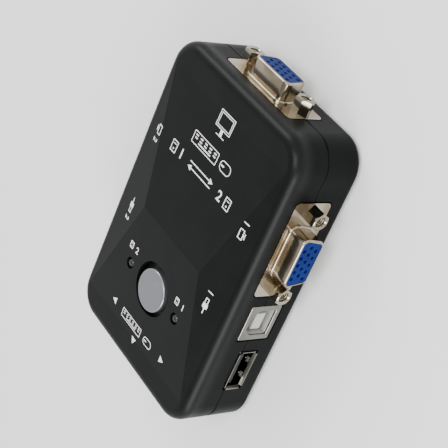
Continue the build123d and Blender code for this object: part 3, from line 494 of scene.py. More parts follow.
@dataclass(frozen=True)
class Laminate:
    """Glass-fibre board under green solder mask, with its weave and its copper showing through."""

    name: str
    mask: Colour = (0.010, 0.115, 0.045)
    mask_on_weave: Colour = (0.014, 0.150, 0.060)
    mask_on_track: Colour = (0.045, 0.230, 0.080)
    weave_rate: float = 9000.0  # radians in a metre
    track_scale: float = 260.0

    def material(self) -> bpy.types.Material:
        """Write the material.

        Returns:
            The material.
        """
        graph = Graph(self.name)
        place = graph.place()
        across, along, _ = graph.parts(place)
        weave = (across * self.weave_rate).wave() * (along * self.weave_rate).wave() * 0.5 + 0.5
        tracks = graph.node(
            "ShaderNodeTexBrick",
            {"offset": 0.5, "offset_frequency": 2},
            {
                "Vector": place,
                "Scale": self.track_scale,
                "Mortar Size": 0.035,
                "Mortar Smooth": 0.2,
            },
            "Fac",
        )
        mask = graph.mix(weave, self.mask, self.mask_on_weave)
        colour = graph.mix(tracks, mask, self.mask_on_track)
        return graph.finish(
            {
                "Base Color": colour,
                "Roughness": 0.32 + weave * 0.08,
                "Normal": graph.bump(tracks * 0.8 + weave * 0.2, 0.00002, 0.6),
            }
        )


@dataclass(frozen=True)
class Stone:
    """Plain pale table top."""

    name: str
    colour: Colour
    cloud_colour: Colour = (0.80, 0.80, 0.80)
    cloud_size: float = 0.4

    def material(self) -> bpy.types.Material:
        """Write the material.

        Returns:
            The material.
        """
        graph = Graph(self.name)
        place = graph.place()
        cloud = graph.noise(place, self.cloud_size, 2.0)
        colour = graph.mix(cloud * 0.04, self.colour, self.cloud_colour)
        return graph.finish({"Base Color": colour, "Roughness": 0.7, "Specular IOR Level": 0.2})


def button_centre() -> Pair:
    """Find the middle of the push-button in plan.

    Returns:
        Its X and Y, in metres.
    """
    low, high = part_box("button_cap")
    return (low.x + high.x) / 2, (low.y + high.y) / 2


class Finish(Enum):
    """Every finish of the object, its print and the table."""

    HOUSING_PLASTIC = Moulding(
        "housing_plastic",
        (0.0029, 0.0034, 0.0034),
        (0.0040, 0.0044, 0.0044),
        0.40,
        specular=0.05,
        polish=0.17,
        polish_levels=(17.0 * MM, 21.0 * MM),
    )
    BLACK_MOULDING = Moulding(
        "black_moulding",
        (0.005, 0.006, 0.006),
        (0.008, 0.009, 0.009),
        0.36,
        grain=0.0001,
        specular=0.25,
    )
    BLUE_MOULDING = Moulding(
        "blue_moulding",
        (0.001, 0.009, 0.080),
        (0.002, 0.012, 0.100),
        0.42,
        grain=0.00012,
        specular=0.06,
    )
    WHITE_MOULDING = Moulding(
        "white_moulding", (0.34, 0.335, 0.315), (0.39, 0.385, 0.365), 0.35, grain=0.00012
    )
    CHIP_MOULDING = Moulding(
        "chip_moulding", (0.020, 0.020, 0.022), (0.030, 0.030, 0.031), 0.62, grain=0.00008
    )
    FOOT_RUBBER = Moulding(
        "foot_rubber", (0.014, 0.014, 0.014), (0.022, 0.022, 0.021), 0.82, 0.00022, 0.00001, 0.25
    )
    NICKEL_PLATE = Plate("nickel_plate", (0.41, 0.36, 0.283), (0.27, 0.226, 0.16), 0.16)
    # nickel of the screw posts and their threads, darker than the shell plate: the darkening is
    # painted shade for the thread bores
    NICKEL_POST = Plate("nickel_post", (0.38, 0.345, 0.28), (0.27, 0.235, 0.175), 0.10)
    TINNED_STEEL = Plate("tinned_steel", (0.21, 0.21, 0.187), (0.16, 0.158, 0.138), 0.13)
    ZINC_STEEL = Plate("zinc_steel", (0.62, 0.63, 0.64), (0.48, 0.48, 0.50), 0.34)
    GOLD_CONTACT = Plate("gold_contact", (0.88, 0.62, 0.26), (0.72, 0.47, 0.20), 0.22)
    COPPER_CONTACT = Plate("copper_contact", (0.83, 0.55, 0.34), (0.66, 0.40, 0.24), 0.26)
    CAPACITOR_CAN = Plate("capacitor_can", (0.70, 0.70, 0.72), (0.56, 0.56, 0.58), 0.30)
    BUTTON_SILVER = TurnedCap(
        "button_silver", button_centre(), (0.24, 0.245, 0.26), (0.36, 0.365, 0.38)
    )
    SMOKED_LENS = Lens("smoked_lens", (0.018, 0.019, 0.015))
    BOARD_LAMINATE = Laminate("board_laminate")
    PRINT = Print("white_print", (0.80, 0.80, 0.80))
    TABLE = Stone("table", (0.90, 0.90, 0.90))

    def material(self) -> bpy.types.Material:
        """The finish's material, written the first time it is asked for.

        Returns:
            The material.
        """
        found = bpy.data.materials.get(self.value.name + "_finish")
        if found is None:
            found = self.value.material()
            found.name = self.value.name + "_finish"
        return found


def dress(piece: Piece, finish: Finish) -> None:
    """Give a piece one finish all over.

    Args:
        piece: a CAD node or a new piece.
        finish: the finish.
    """
    if not piece.material_slots:
        piece.data.materials.append(None)
    for slot in piece.material_slots:
        slot.material = finish.material()


# ---------- the bench: modelling by hand
class Bench:
    """Hand tools: each call works on one object and leaves nothing selected."""

    @staticmethod
    def clear() -> None:
        """Leave edit mode and select nothing."""
        if bpy.context.object and bpy.context.object.mode != "OBJECT":
            bpy.ops.object.mode_set(mode="OBJECT")
        bpy.ops.object.select_all(action="DESELECT")

    @staticmethod
    def take(*pieces: Piece) -> None:
        """Select pieces and make the first one active.

        Args:
            pieces: the pieces.
        """
        Bench.clear()
        for piece in pieces:
            piece.select_set(True)
        bpy.context.view_layer.objects.active = pieces[0]

    @staticmethod
    def edit(piece: Piece) -> None:
        """Put a piece into edit mode with all of it selected.

        Args:
            piece: the piece.
        """
        Bench.take(piece)
        bpy.ops.object.mode_set(mode="EDIT")
        bpy.ops.mesh.select_all(action="SELECT")

    @staticmethod
    def settle(piece: Piece) -> None:
        """Put a piece's place, turn and size into its mesh.

        Args:
            piece: the piece.
        """
        Bench.take(piece)
        bpy.ops.object.transform_apply(location=True, rotation=True, scale=True)
        Bench.clear()

    @staticmethod
    def join(pieces: Sequence[Piece], name: str) -> Piece:
        """Join pieces into one.

        Args:
            pieces: the pieces.
            name: the joined piece's name.

        Returns:
            The joined piece.
        """
        Bench.take(*pieces)
        if len(pieces) > 1:
            bpy.ops.object.join()
        joined = bpy.context.view_layer.objects.active
        joined.name = name
        joined.data.name = name
        Bench.clear()
        return joined

    @staticmethod
    def apply(piece: Piece, kind: str, settings: Mapping[str, object]) -> None:
        """Add a modifier and apply it.

        Args:
            piece: the piece.
            kind: the modifier's type.
            settings: its properties.
        """
        modifier = piece.modifiers.new(kind.lower(), kind)
        for key, value in settings.items():
            setattr(modifier, key, value)
        Bench.take(piece)
        bpy.ops.object.modifier_apply(modifier=modifier.name)
        Bench.clear()

    @staticmethod
    def copy(piece: Piece, name: str, place: Matrix) -> Piece:
        """Copy a piece with a mesh of its own.

        Args:
            piece: the piece.
            name: the copy's name.
            place: where the copy goes.

        Returns:
            The copy, its place in its mesh.
        """
        made = bpy.data.objects.new(name, piece.data.copy())
        made.data.name = name
        made.data.transform(place)
        bpy.context.scene.collection.objects.link(made)
        return made


# ---------- printed marks
class Stencil:
    """Flat shapes cut with hand tools in millimetres, then printed on the roof as one mark."""

    INK = 0.03 * MM  # thickness of a mark
    PROUD = 0.018 * MM  # how much of it stands over the roof
    WELD = 0.001 * MM
    CORNER_STEPS = 5
    CURVE_STEPS = 6
    BOLD = 0.015  # how much a numeral's outline is fattened, before it is scaled

    def __init__(self, name: str) -> None:
        """Start an empty mark.

        Args:
            name: the mark's name.
        """
        self.name = name
        self.shapes: list[Piece] = []

    def _keep(self, piece: Piece) -> Piece:
        """Settle a shape and keep it.

        Args:
            piece: the shape.

        Returns:
            The same shape.
        """
        Bench.settle(piece)
        self.shapes.append(piece)
        return piece

    def plate(
        self, x: float, y: float, width: float, height: float, corner: float = 0.0
    ) -> Piece:
        """Cut a plate.

        Args:
            x: middle, in millimetres.
            y: middle.
            width: size along X.
            height: size along Y.
            corner: corner radius.

        Returns:
            The plate.
        """
        Bench.clear()
        bpy.ops.mesh.primitive_plane_add(size=MM, location=(x * MM, y * MM, 0))
        piece = bpy.context.object
        piece.scale = (width, height, 1)
        Bench.settle(piece)
        if corner:
            Bench.edit(piece)
            bpy.ops.mesh.bevel(offset=corner * MM, segments=self.CORNER_STEPS, affect="VERTICES")
        return self._keep(piece)

    def frame(
        self, x: float, y: float, width: float, height: float, corner: float, line: float
    ) -> None:
        """Cut a plate and take out all but its border.

        Args:
            x, y, width, height, corner: as for the plate.
            line: the border's width.
        """
        piece = self.plate(x, y, width, height, corner)
        Bench.take(piece)
        bpy.ops.object.mode_set(mode="EDIT")
        bpy.ops.mesh.select_mode(type="FACE")
        bpy.ops.mesh.select_all(action="SELECT")
        bpy.ops.mesh.inset(thickness=line * MM)
        bpy.ops.mesh.delete(type="FACE")
        Bench.clear()

    def disc(self, x: float, y: float, radius: float, corners: int = 24, turn: float = 0.0) -> None:
        """Cut a disc, or a triangle if it has three corners.

        Args:
            x: middle, in millimetres.
            y: middle.
            radius: distance from the middle to a corner.
            corners: how many corners.
            turn: turn to the left, in degrees.
        """
        Bench.clear()
        bpy.ops.mesh.primitive_circle_add(
            vertices=corners,
            radius=radius * MM,
            fill_type="NGON",
            location=(x * MM, y * MM, 0),
            rotation=(0, 0, math.radians(turn)),
        )
        self._keep(bpy.context.object)

    def numeral(self, x: float, y: float, height: float, digit: int) -> None:
        """Cut a numeral.

        Args:
            x: middle, in millimetres.
            y: middle.
            height: its height.
            digit: which numeral.
        """
        Bench.clear()
        bpy.ops.object.text_add(location=(0, 0, 0))
        piece = bpy.context.object
        piece.data.body = str(digit)
        piece.data.resolution_u = self.CURVE_STEPS
        piece.data.offset = self.BOLD
        bpy.ops.object.convert(target="MESH")
        piece = bpy.context.object
        corners = [v.co for v in piece.data.vertices]
        low = Vector((min(c.x for c in corners), min(c.y for c in corners), 0))
        high = Vector((max(c.x for c in corners), max(c.y for c in corners), 0))
        size = height * MM / (high.y - low.y)
        centre = Vector((x * MM, y * MM, 0))
        shift = Matrix.Translation(centre) @ Matrix.Diagonal((size, size, size, 1))
        piece.data.transform(shift @ Matrix.Translation(-(low + high) / 2))
        self._keep(piece)

    def stamp(self, x: float, y: float, turn: float, roof: "Roof") -> Piece:
        """Print the mark.

        Args:
            x: its middle on the roof, in millimetres from the housing's middle.
            y: its middle.
            turn: turn to the left, in degrees.
            roof: the roof that takes the ink.

        Returns:
            The printed mark.
        """
        piece = Bench.join(self.shapes, self.name)
        Bench.edit(piece)
        bpy.ops.mesh.remove_doubles(threshold=self.WELD)
        bpy.ops.mesh.normals_make_consistent(inside=False)
        bpy.ops.mesh.extrude_region_move(TRANSFORM_OT_translate={"value": (0, 0, self.INK)})
        bpy.ops.mesh.select_all(action="SELECT")
        bpy.ops.mesh.normals_make_consistent(inside=False)
        Bench.clear()
        middle = roof.middle + Vector((x * MM, y * MM, 0))
        turned = Matrix.Rotation(math.radians(turn), 4, "Z")
        piece.data.transform(Matrix.Translation((middle.x, middle.y, 0)) @ turned)
        for vertex in piece.data.vertices:
            height = vertex.co.z
            surface = roof.height(vertex.co.x, vertex.co.y)
            vertex.co.z = surface + self.PROUD - self.INK + height
        piece.data.update()
        dress(piece, Finish.PRINT)
        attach(piece, HOUSING)
        LOG.info("%s: printed, %d faces", piece.name, len(piece.data.polygons))
        return piece


@dataclass
class Roof:
    """The housing's roof, as something to print on."""

    node: str = "top_cover"
    above: float = 0.1  # level from which it is probed
    middle: Vector = field(init=False)
    tree: BVHTree = field(init=False)

    def __post_init__(self) -> None:
        """Measure the roof."""
        low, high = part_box(self.node)
        self.middle = (low + high) / 2
        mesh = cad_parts[self.node].data
        corners = [v.co.copy() for v in mesh.vertices]
        self.tree = BVHTree.FromPolygons(corners, [tuple(p.vertices) for p in mesh.polygons])

    def height(self, x: float, y: float) -> float:
        """Level of the roof over a point.

        Args:
            x: the point, in metres.
            y: the point.

        Returns:
            The level, in metres.
        """
        hit, _, _, _ = self.tree.ray_cast(Vector((x, y, self.above)), Vector((0, 0, -1)))
        return hit.z


class Spot(NamedTuple):
    """Middle, size and line width of a pictogram, in millimetres."""

    x: float
    y: float
    width: float
    height: float
    line: float


class Sign(Enum):
    """Pictograms that stand for what plugs in."""

    MONITOR = "monitor"
    KEYBOARD = "keyboard"
    MOUSE = "mouse"
    COMPUTER = "computer"
    PLUG = "plug"
    SWAP = "swap"

    def draw(
        self, stencil: Stencil, x: float, y: float, width: float, height: float, line: float = 0.3
    ) -> None:
        """Cut the pictogram.

        Args:
            stencil: the mark that it belongs to.
            x: middle, in millimetres.
            y: middle.
            width: size along X.
            height: size along Y.
            line: width of its lines.
        """
        getattr(self, "_" + self.value)(stencil, Spot(x, y, width, height, line))

    def _monitor(self, stencil: Stencil, spot: Spot) -> None:
        """Screen, neck and foot."""
        x, y, width, height, line = spot
        screen = 0.72 * height
        middle = y + (height - screen) / 2
        bottom = y - height / 2
        stencil.frame(x, middle, width, screen, 0.9 * line, line)
        if width > 16 * line:
            stencil.frame(x, middle, width - 5 * line, screen - 5 * line, 0, 0.8 * line)
        stencil.plate(x, bottom + 0.16 * height, 0.16 * width, 0.24 * height)
        stencil.plate(x, bottom + 0.5 * line, 0.56 * width, line)

    def _keyboard(self, stencil: Stencil, spot: Spot) -> None:
        """Case, two rows of keys and a space bar."""
        x, y, width, height, line = spot
        stencil.frame(x, y, width, height, 1.2 * line, line)
        columns = max(4, round(1.6 * width / height))
        pitch = (width - 3.2 * line) / columns
        for row in (0.24, 0.0):
            for column in range(columns):
                key_x = x + (column - (columns - 1) / 2) * pitch
                stencil.plate(key_x, y + row * height, 0.5 * pitch, 0.11 * height)
        stencil.plate(x, y - 0.23 * height, 0.5 * width, 0.11 * height)

    def _mouse(self, stencil: Stencil, spot: Spot) -> None:
        """Oval body with a wheel, lying on its side."""
        x, y, width, height, line = spot
        stencil.frame(x, y, width, height, 0.46 * min(width, height), line)
        stencil.plate(x - 0.24 * width, y, 0.26 * width, 0.16 * height, 0.07 * height)

    def _computer(self, stencil: Stencil, spot: Spot) -> None:
        """Upright case with a drive slot and a power button."""
        x, y, width, height, line = spot
        stencil.frame(x, y, width, height, 0.8 * line, line)
        stencil.plate(x, y + 0.22 * height, 0.48 * width, 0.8 * line)
        stencil.disc(x, y - 0.2 * height, 0.11 * width, 16)

    def _plug(self, stencil: Stencil, spot: Spot) -> None:
        """Flat plug, its grip and its lead."""
        x, y, width, height, line = spot
        shell = 0.34 * width
        body = 0.36 * width
        stencil.frame(x + (width - shell) / 2, y, shell + line, 0.72 * height, 0.0, line)
        stencil.plate(x + 0.02 * width, y, body, height, 0.2 * height)
        stencil.plate(x - 0.33 * width, y, 0.34 * width, 1.1 * line)

    def _swap(self, stencil: Stencil, spot: Spot) -> None:
        """Two arrows that point opposite ways."""
        x, y, width, height, line = spot
        head = 0.34 * height
        for side in (1, -1):
            level = y + side * 0.26 * height
            stencil.plate(x - side * 0.5 * head, level, width - 1.6 * head, 1.1 * line)
            stencil.disc(x + side * (width / 2 - head), level, head, 3, -90 * side)


@dataclass
class Marks:
    """White marks on the roof: pictograms, port numbers and arrows.

    Sizes and places are in millimetres, places from the middle of the roof.
    """

    roof: Roof
    small: float = 2.1  # height of a port's number
    fine: float = 0.25  # line of the large pictograms
    emblem: float = 7.0
    emblem_at: Pair = (0.4, 36.0)
    console_at: Pair = (0.3, 27.0)
    computers_at: Pair = (-0.3, 19.8)
    computer_reach: float = 14.2
    number_reach: float = 10.2
    video_at: Pair = (23.4, 18.2)
    plug_at: Pair = (22.0, -7.2)
    lamp_at: Pair = (13.3, -15.2)
    row_at: Pair = (0.0, -35.4)
    arrow: float = 1.35

    def build(self) -> None:
        """Print every mark."""
        self._emblem()
        self._titles()
        self._port_labels()
        self._console_row()

    def _emblem(self) -> None:
        """A monitor over the other pictograms."""
        stencil = Stencil("mark_monitor")
        Sign.MONITOR.draw(stencil, 0, 0, self.emblem, self.emblem, self.fine)
        stencil.stamp(*self.emblem_at, 0, self.roof)

    def _titles(self) -> None:
        """Keyboard and mouse, and below them two computers with swapping arrows."""
        upper = Stencil("mark_console")
        Sign.KEYBOARD.draw(upper, -3.2, 0, 12.6, 3.8, self.fine)
        Sign.MOUSE.draw(upper, 7.2, 0, 5.2, 3.2, self.fine)
        upper.stamp(*self.console_at, 0, self.roof)
        lower = Stencil("mark_computers")
        for side, digit in ((-1, 1), (1, 2)):
            Sign.COMPUTER.draw(lower, side * self.computer_reach, 0, 2.7, 3.6)
            lower.numeral(side * self.number_reach, 0, 3.1, digit)
        Sign.SWAP.draw(lower, 0, 0, 12.0, 3.2)
        lower.stamp(*self.computers_at, 0, self.roof)

    def _port_labels(self) -> None:
        """A number beside each port and each lamp."""
        for side, digit in ((1, 1), (-1, 2)):
            turn = 90 * side
            video = Stencil(f"mark_video_{digit}")
            Sign.MONITOR.draw(video, -1.5, 0, 3.2, 2.5)
            video.numeral(2.1, 0, self.small, digit)
            video.stamp(side * self.video_at[0], self.video_at[1], turn, self.roof)
            plug = Stencil(f"mark_plug_{digit}")
            Sign.PLUG.draw(plug, -1.4, 0, 5.0, 1.9)
            plug.numeral(3.2, 0, self.small, digit)
            plug.stamp(side * self.plug_at[0], self.plug_at[1], turn, self.roof)
            lamp = Stencil(f"mark_lamp_{digit}")
            Sign.COMPUTER.draw(lamp, -1.6, 0, 1.8, 2.3)
            lamp.numeral(1.5, 0, self.small, digit)
            lamp.stamp(side * self.lamp_at[0], self.lamp_at[1], 0, self.roof)

    def _console_row(self) -> None:
        """Keyboard and mouse again, with an arrow towards each console socket."""
        row = Stencil("mark_console_row")
        Sign.KEYBOARD.draw(row, -3.4, 0, 11.0, 3.0, self.fine)
        Sign.MOUSE.draw(row, 6.2, 0, 4.4, 2.6, self.fine)
        row.stamp(*self.row_at, 0, self.roof)
        for name, x, y, turn in (
            ("mark_arrow_left", -13.6, -35.1, 90),
            ("mark_arrow_right", 14.1, -35.0, -90),
            ("mark_arrow_near", 0.2, -39.2, 180),
        ):
            arrow = Stencil(name)
            arrow.disc(0, 0, self.arrow, 3, turn)
            arrow.stamp(x, y, 0, self.roof)


# ---------- sub-assemblies
@dataclass
class Housing:
    """Upper and lower shell, case screws and feet."""

    def dress(self) -> None:
        """Finish the housing's pieces."""
        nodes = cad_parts
        dress(nodes["top_cover"], Finish.HOUSING_PLASTIC)
        dress(nodes["bottom_cover"], Finish.HOUSING_PLASTIC)
        dress(nodes["rubber_feet"], Finish.FOOT_RUBBER)
        dress(nodes["case_screws"], Finish.ZINC_STEEL)
        LOG.info("housing: dressed")


@dataclass
class Thread:
    """Inner thread of a screw post, cut as one turned ridge."""

    bore_radius: float = 1.42 * MM
    crest: float = 0.17 * MM
    root: float = 0.02 * MM  # how deep the ridge stands in the wall of the bore
    pitch: float = 0.635 * MM
    half_width: float = 0.46  # of the pitch
    turns: int = 5
    steps: int = 28

    def build(self) -> Piece:
        """Model the ridge along Z, its mouth at the origin.

        Returns:
            The ridge.
        """
        Bench.clear()
        outer = self.bore_radius + self.root
        bpy.ops.mesh.primitive_circle_add(vertices=3, radius=1.0, fill_type="NOTHING")
        piece = bpy.context.object
        half = self.half_width * self.pitch
        profile = ((outer, -half), (self.bore_radius - self.crest, 0.0), (outer, half))
        for vertex, (radius, level) in zip(piece.data.vertices, profile):
            vertex.co = (radius, 0.0, level)
        settings = {
            "axis": "Z",
            "angle": -2 * math.pi * self.turns,
            "screw_offset": -self.pitch * self.turns,
            "steps": self.steps * self.turns,
            "render_steps": self.steps * self.turns,
            "use_merge_vertices": False,
        }
        Bench.apply(piece, "SCREW", settings)
        Bench.take(piece)
        bpy.ops.object.mode_set(mode="EDIT")
        bpy.ops.mesh.select_mode(type="EDGE")
        bpy.ops.mesh.select_all(action="DESELECT")
        bpy.ops.mesh.select_non_manifold(extend=False)
        bpy.ops.mesh.fill()
        bpy.ops.mesh.select_all(action="SELECT")
        bpy.ops.mesh.normals_make_consistent(inside=False)
        Bench.clear()
        return piece


@dataclass
class VideoSocket:
    """15-pin socket: plated shell, blue insulator, rear moulding, contacts and screw posts."""

    name: str
    outward: Vector
    thread: Piece
    post_spacing: float = 24.99 * MM
    thread_start: float = 0.9 * MM

    def build(self) -> None:
        """Cut the threads of the two screw posts."""
        low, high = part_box(f"{self.name}_posts")
        middle = (low + high) / 2
        tip = max(abs(low.dot(self.outward)), abs(high.dot(self.outward)))
        across = Vector((0, 0, 1)).cross(self.outward)
        turn = self.outward.to_track_quat("Z", "Y").to_matrix().to_4x4()
        threads = []
        for side in (1, -1):
            flat = middle - self.outward * middle.dot(self.outward)
            mouth = flat + self.outward * tip + across * side * self.post_spacing / 2
            place = Matrix.Translation(mouth - self.outward * self.thread_start) @ turn
            threads.append(Bench.copy(self.thread, f"{self.name}_thread", place))
        piece = Bench.join(threads, f"{self.name}_threads")
        # the threads take the darker post nickel, which paints shade into the bores
        dress(piece, Finish.NICKEL_POST)
        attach(piece, HOUSING)
        LOG.info("%s: threads, %d faces", self.name, len(piece.data.polygons))

    def dress(self) -> None:
        """Finish the socket's CAD pieces."""
        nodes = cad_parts
        dress(nodes[f"{self.name}_shell"], Finish.NICKEL_PLATE)
        dress(nodes[f"{self.name}_insulator"], Finish.BLUE_MOULDING)
        dress(nodes[f"{self.name}_bracket"], Finish.BLACK_MOULDING)
        dress(nodes[f"{self.name}_contacts"], Finish.GOLD_CONTACT)
        dress(nodes[f"{self.name}_posts"], Finish.NICKEL_POST)
        LOG.info("%s: dressed", self.name)


@dataclass
class PlugSocket:
    """Square or flat socket: tinned shell, moulded tongue and contacts."""

    name: str
    moulding: str
    moulding_finish: Finish

    def dress(self) -> None:
        """Finish the socket's CAD pieces."""
        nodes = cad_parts
        dress(nodes[f"{self.name}_shell"], Finish.TINNED_STEEL)
        dress(nodes[f"{self.name}_{self.moulding}"], self.moulding_finish)
        dress(nodes[f"{self.name}_contacts"], Finish.COPPER_CONTACT)
        LOG.info("%s: dressed", self.name)


@dataclass
class PushButton:
    """Silver cap on its black stem, over the tactile switch."""

    sheet: float = 0.08 * MM
    pressed: float = 0.38  # share of the dome's height that is left when it is pressed
    segments: int = 40
    rings: int = 60
    smooth_below: float = 40.0  # degrees

    def build(self) -> None:
        """Model the snap dome."""
        low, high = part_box("switch_dome")
        middle = (low + high) / 2
        reach = (high.x - low.x) / 2
        foot = low.z + self.sheet
        rise = high.z - foot
        ball = (reach**2 + rise**2) / (2 * rise)
        Bench.clear()
        bpy.ops.mesh.primitive_uv_sphere_add(
            segments=self.segments,
            ring_count=self.rings,
            radius=ball,
            location=(middle.x, middle.y, high.z - ball),
        )
        piece = bpy.context.object
        piece.name = "snap_dome"
        Bench.settle(piece)
        Bench.edit(piece)
        bpy.ops.mesh.bisect(
            plane_co=(middle.x, middle.y, foot), plane_no=(0, 0, 1), clear_inner=True
        )
        bpy.ops.object.mode_set(mode="OBJECT")
        Bench.apply(piece, "SOLIDIFY", {"thickness": self.sheet, "offset": -1.0})
        Bench.take(piece)
        bpy.ops.object.shade_smooth_by_angle(angle=math.radians(self.smooth_below))
        dress(piece, Finish.TINNED_STEEL)
        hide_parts("switch_dome")
        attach(piece, HOUSING)
        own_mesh(piece)
        LOG.info("push-button: snap dome, %d faces", len(piece.data.polygons))

    def dress(self) -> None:
        """Finish the button's and the switch's pieces."""
        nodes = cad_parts
        dress(nodes["button_cap"], Finish.BUTTON_SILVER)
        for name in ("button_stem", "switch_plunger", "switch_base"):
            dress(nodes[name], Finish.BLACK_MOULDING)
        for name in ("switch_frame", "switch_terminals"):
            dress(nodes[name], Finish.TINNED_STEEL)
        LOG.info("push-button: dressed")


@dataclass
class Lamp:
    """Smoky 3 mm lamp with its post and reflector cup inside."""

    name: str
    cover: float = 1.5 * MM  # epoxy over the metal
    foot_gap: float = 0.1 * MM
    cup_side: float = 0.3 * MM  # off the lamp's axis, to +X
    cup_radius: float = 0.55 * MM
    cup_wall: float = 0.1 * MM
    cup_depth: float = 0.3 * MM
    cup_taper: float = 0.5
    post_side: float = 0.75 * MM  # off the lamp's axis, to -X
    post_width: float = 0.4 * MM
    post_edge: float = 0.06 * MM

    def build(self) -> None:
        """Model the metal inside the lens."""
        low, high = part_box(self.name)
        x, y = (low.x + high.x) / 2, (low.y + high.y) / 2
        top = high.z - self.cover
        foot = low.z + self.foot_gap
        cup = self._cup(Vector((x + self.cup_side, y, top)), foot)
        post = self._post(Vector((x - self.post_side, y, top)), foot)
        piece = Bench.join([cup, post], f"{self.name}_core")
        dress(piece, Finish.TINNED_STEEL)
        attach(piece, HOUSING)
        LOG.info("%s: core, %d faces", self.name, len(piece.data.polygons))

    def _cup(self, top: Vector, foot: float) -> Piece:
        """Reflector cup on its leg.

        Args:
            top: middle of the cup's rim.
            foot: level of the leg's end.

        Returns:
            The cup.
        """
        Bench.clear()
        depth = top.z - foot
        bpy.ops.mesh.primitive_cylinder_add(
            vertices=20,
            radius=self.cup_radius,
            depth=depth,
            location=(top.x, top.y, foot + depth / 2),
        )
        piece = bpy.context.object
        Bench.settle(piece)
        Bench.take(piece)
        bpy.ops.object.mode_set(mode="EDIT")
        bpy.ops.mesh.select_mode(type="FACE")
        bpy.ops.mesh.select_all(action="DESELECT")
        bpy.ops.object.mode_set(mode="OBJECT")
        for face in piece.data.polygons:
            face.select = face.normal.z > 0.9
        bpy.ops.object.mode_set(mode="EDIT")
        bpy.ops.mesh.inset(thickness=self.cup_wall)
        bpy.ops.mesh.extrude_region_move(TRANSFORM_OT_translate={"value": (0, 0, -self.cup_depth)})
        bpy.ops.transform.resize(value=(self.cup_taper, self.cup_taper, 1))
        Bench.clear()
        return piece

    def _post(self, top: Vector, foot: float) -> Piece:
        """Thin post beside the cup.

        Args:
            top: middle of its top.
            foot: level of its end.

        Returns:
            The post.
        """
        Bench.clear()
        depth = top.z - foot
        bpy.ops.mesh.primitive_cube_add(size=1, location=(top.x, top.y, foot + depth / 2))
        piece = bpy.context.object
        piece.scale = (self.post_width, self.post_width, depth)
        Bench.settle(piece)
        Bench.edit(piece)
        bpy.ops.mesh.bevel(offset=self.post_edge, segments=2, affect="EDGES")
        Bench.clear()
        return piece

    def dress(self) -> None:
        """Finish the lens."""
        dress(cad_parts[self.name], Finish.SMOKED_LENS)


@dataclass
class BoardParts:
    """Circuit board and what is soldered on it."""

    def dress(self) -> None:
        """Finish the board's pieces."""
        finishes = {
            "circuit_board": Finish.BOARD_LAMINATE,
            "controller_chip": Finish.CHIP_MOULDING,
            "hub_chip": Finish.CHIP_MOULDING,
            "video_switch_chips": Finish.CHIP_MOULDING,
            "resistors": Finish.CHIP_MOULDING,
            "chip_leads": Finish.TINNED_STEEL,
            "light_leads": Finish.TINNED_STEEL,
            "crystal": Finish.TINNED_STEEL,
            "can_capacitors": Finish.CAPACITOR_CAN,
        }
        for name, finish in finishes.items():
            dress(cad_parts[name], finish)
        LOG.info("board: %d pieces dressed", len(finishes))


# ---------- studio
@dataclass(frozen=True)
class SoftLight:
    """A square soft light: where it hangs, its side in metres and its power in watts."""

    name: str
    place: Colour
    side: float
    power: float


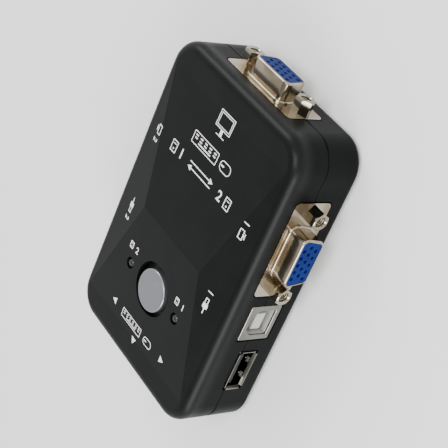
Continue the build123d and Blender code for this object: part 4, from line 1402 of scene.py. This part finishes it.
@dataclass
class Studio:
    """Pale table, soft lights and the camera."""

    aim: Vector
    distance: float = 341.9 * MM
    azimuth: float = 127.1
    elevation: float = 39.05
    roll: float = -91.48
    lens: float = 102.04
    near: float = 0.01
    table_size: float = 6.0
    sky: float = 1.5
    levels: tuple[Pair, ...] = ((0.0, 0.8), (0.36, 1.0), (0.52, 0.93), (0.70, 0.62), (1.0, 0.25))
    lights: tuple[SoftLight, ...] = (
        SoftLight("front", (0.45, 0.40, 1.05), 0.5, 12.0),
        SoftLight("right", (0.80, -0.47, 0.40), 0.52, 10.0),
        SoftLight("far", (-0.62, 0.63, 0.48), 0.42, 5.3),
    )

    def build(self) -> None:
        """Set the studio up."""
        self._table()
        self._sky()
        for light in self.lights:
            self._hang(light)
        self._camera()

    def _table(self) -> None:
        """The table top."""
        Bench.clear()
        bpy.ops.mesh.primitive_plane_add(size=self.table_size, location=(0, 0, 0))
        table = bpy.context.object
        table.name = "table"
        dress(table, Finish.TABLE)
        Bench.clear()

    def _sky(self) -> None:
        """Pale surroundings, brightest a third of the way up and dim overhead."""
        world = bpy.data.worlds.new("surroundings")
        world.use_nodes = True
        tree = world.node_tree
        background = tree.nodes["Background"]
        background.inputs["Strength"].default_value = self.sky
        place = tree.nodes.new("ShaderNodeTexCoord")
        split = tree.nodes.new("ShaderNodeSeparateXYZ")
        ramp = tree.nodes.new("ShaderNodeValToRGB")
        stops = ramp.color_ramp.elements
        for height, _ in self.levels[2:]:
            stops.new(height)
        for stop, (height, level) in zip(stops, self.levels):
            stop.position = height
            stop.color = (level, level, level, 1.0)
        tree.links.new(place.outputs["Generated"], split.inputs[0])
        tree.links.new(split.outputs["Z"], ramp.inputs[0])
        tree.links.new(ramp.outputs[0], background.inputs["Color"])
        bpy.context.scene.world = world

    def _hang(self, light: SoftLight) -> None:
        """Hang a light so that it faces the object.

        Args:
            light: the light.
        """
        lamp = bpy.data.lights.new(light.name, "AREA")
        lamp.size = light.side
        lamp.energy = light.power
        holder = bpy.data.objects.new(light.name, lamp)
        holder.location = light.place
        holder.rotation_mode = "QUATERNION"
        holder.rotation_quaternion = (self.aim - Vector(light.place)).to_track_quat("-Z", "Y")
        bpy.context.scene.collection.objects.link(holder)

    def _camera(self) -> None:
        """The camera, rolled so that the object stands on end."""
        turn, rise = math.radians(self.azimuth), math.radians(self.elevation)
        flat = math.cos(rise)
        back = Vector((math.sin(turn) * flat, -math.cos(turn) * flat, math.sin(rise)))
        data = bpy.data.cameras.new("camera")
        data.lens = self.lens
        data.clip_start = self.near
        camera = bpy.data.objects.new("camera", data)
        camera.location = self.aim + back * self.distance
        camera.rotation_mode = "QUATERNION"
        level = (-back).to_track_quat("-Z", "Y")
        camera.rotation_quaternion = level @ Quaternion((0, 0, 1), math.radians(self.roll))
        bpy.context.scene.collection.objects.link(camera)
        bpy.context.scene.camera = camera


def main() -> None:
    """Build and dress the object, then set up the studio."""
    logging.basicConfig(level=logging.INFO, format="%(message)s")
    roof = Roof()
    Housing().dress()
    thread = Thread().build()
    video_sockets = {
        "monitor_socket": Vector((0, 1, 0)),
        "port_1_video": Vector((1, 0, 0)),
        "port_2_video": Vector((-1, 0, 0)),
    }
    for name, outward in video_sockets.items():
        socket = VideoSocket(name, outward, thread)
        socket.build()
        socket.dress()
    bpy.data.objects.remove(thread)
    for name in ("port_1_host", "port_2_host"):
        PlugSocket(name, "insulator", Finish.WHITE_MOULDING).dress()
    for name in ("right_console", "left_console", "end_console"):
        PlugSocket(name, "tongue", Finish.BLACK_MOULDING).dress()
    button = PushButton()
    button.build()
    button.dress()
    for name in ("port_1_light", "port_2_light"):
        lamp = Lamp(name)
        lamp.build()
        lamp.dress()
    BoardParts().dress()
    Marks(roof).build()
    Studio(Vector((AIM[0], roof.middle.y + AIM[1], AIM[2]))).build()


if __name__ == "__main__":
    main()
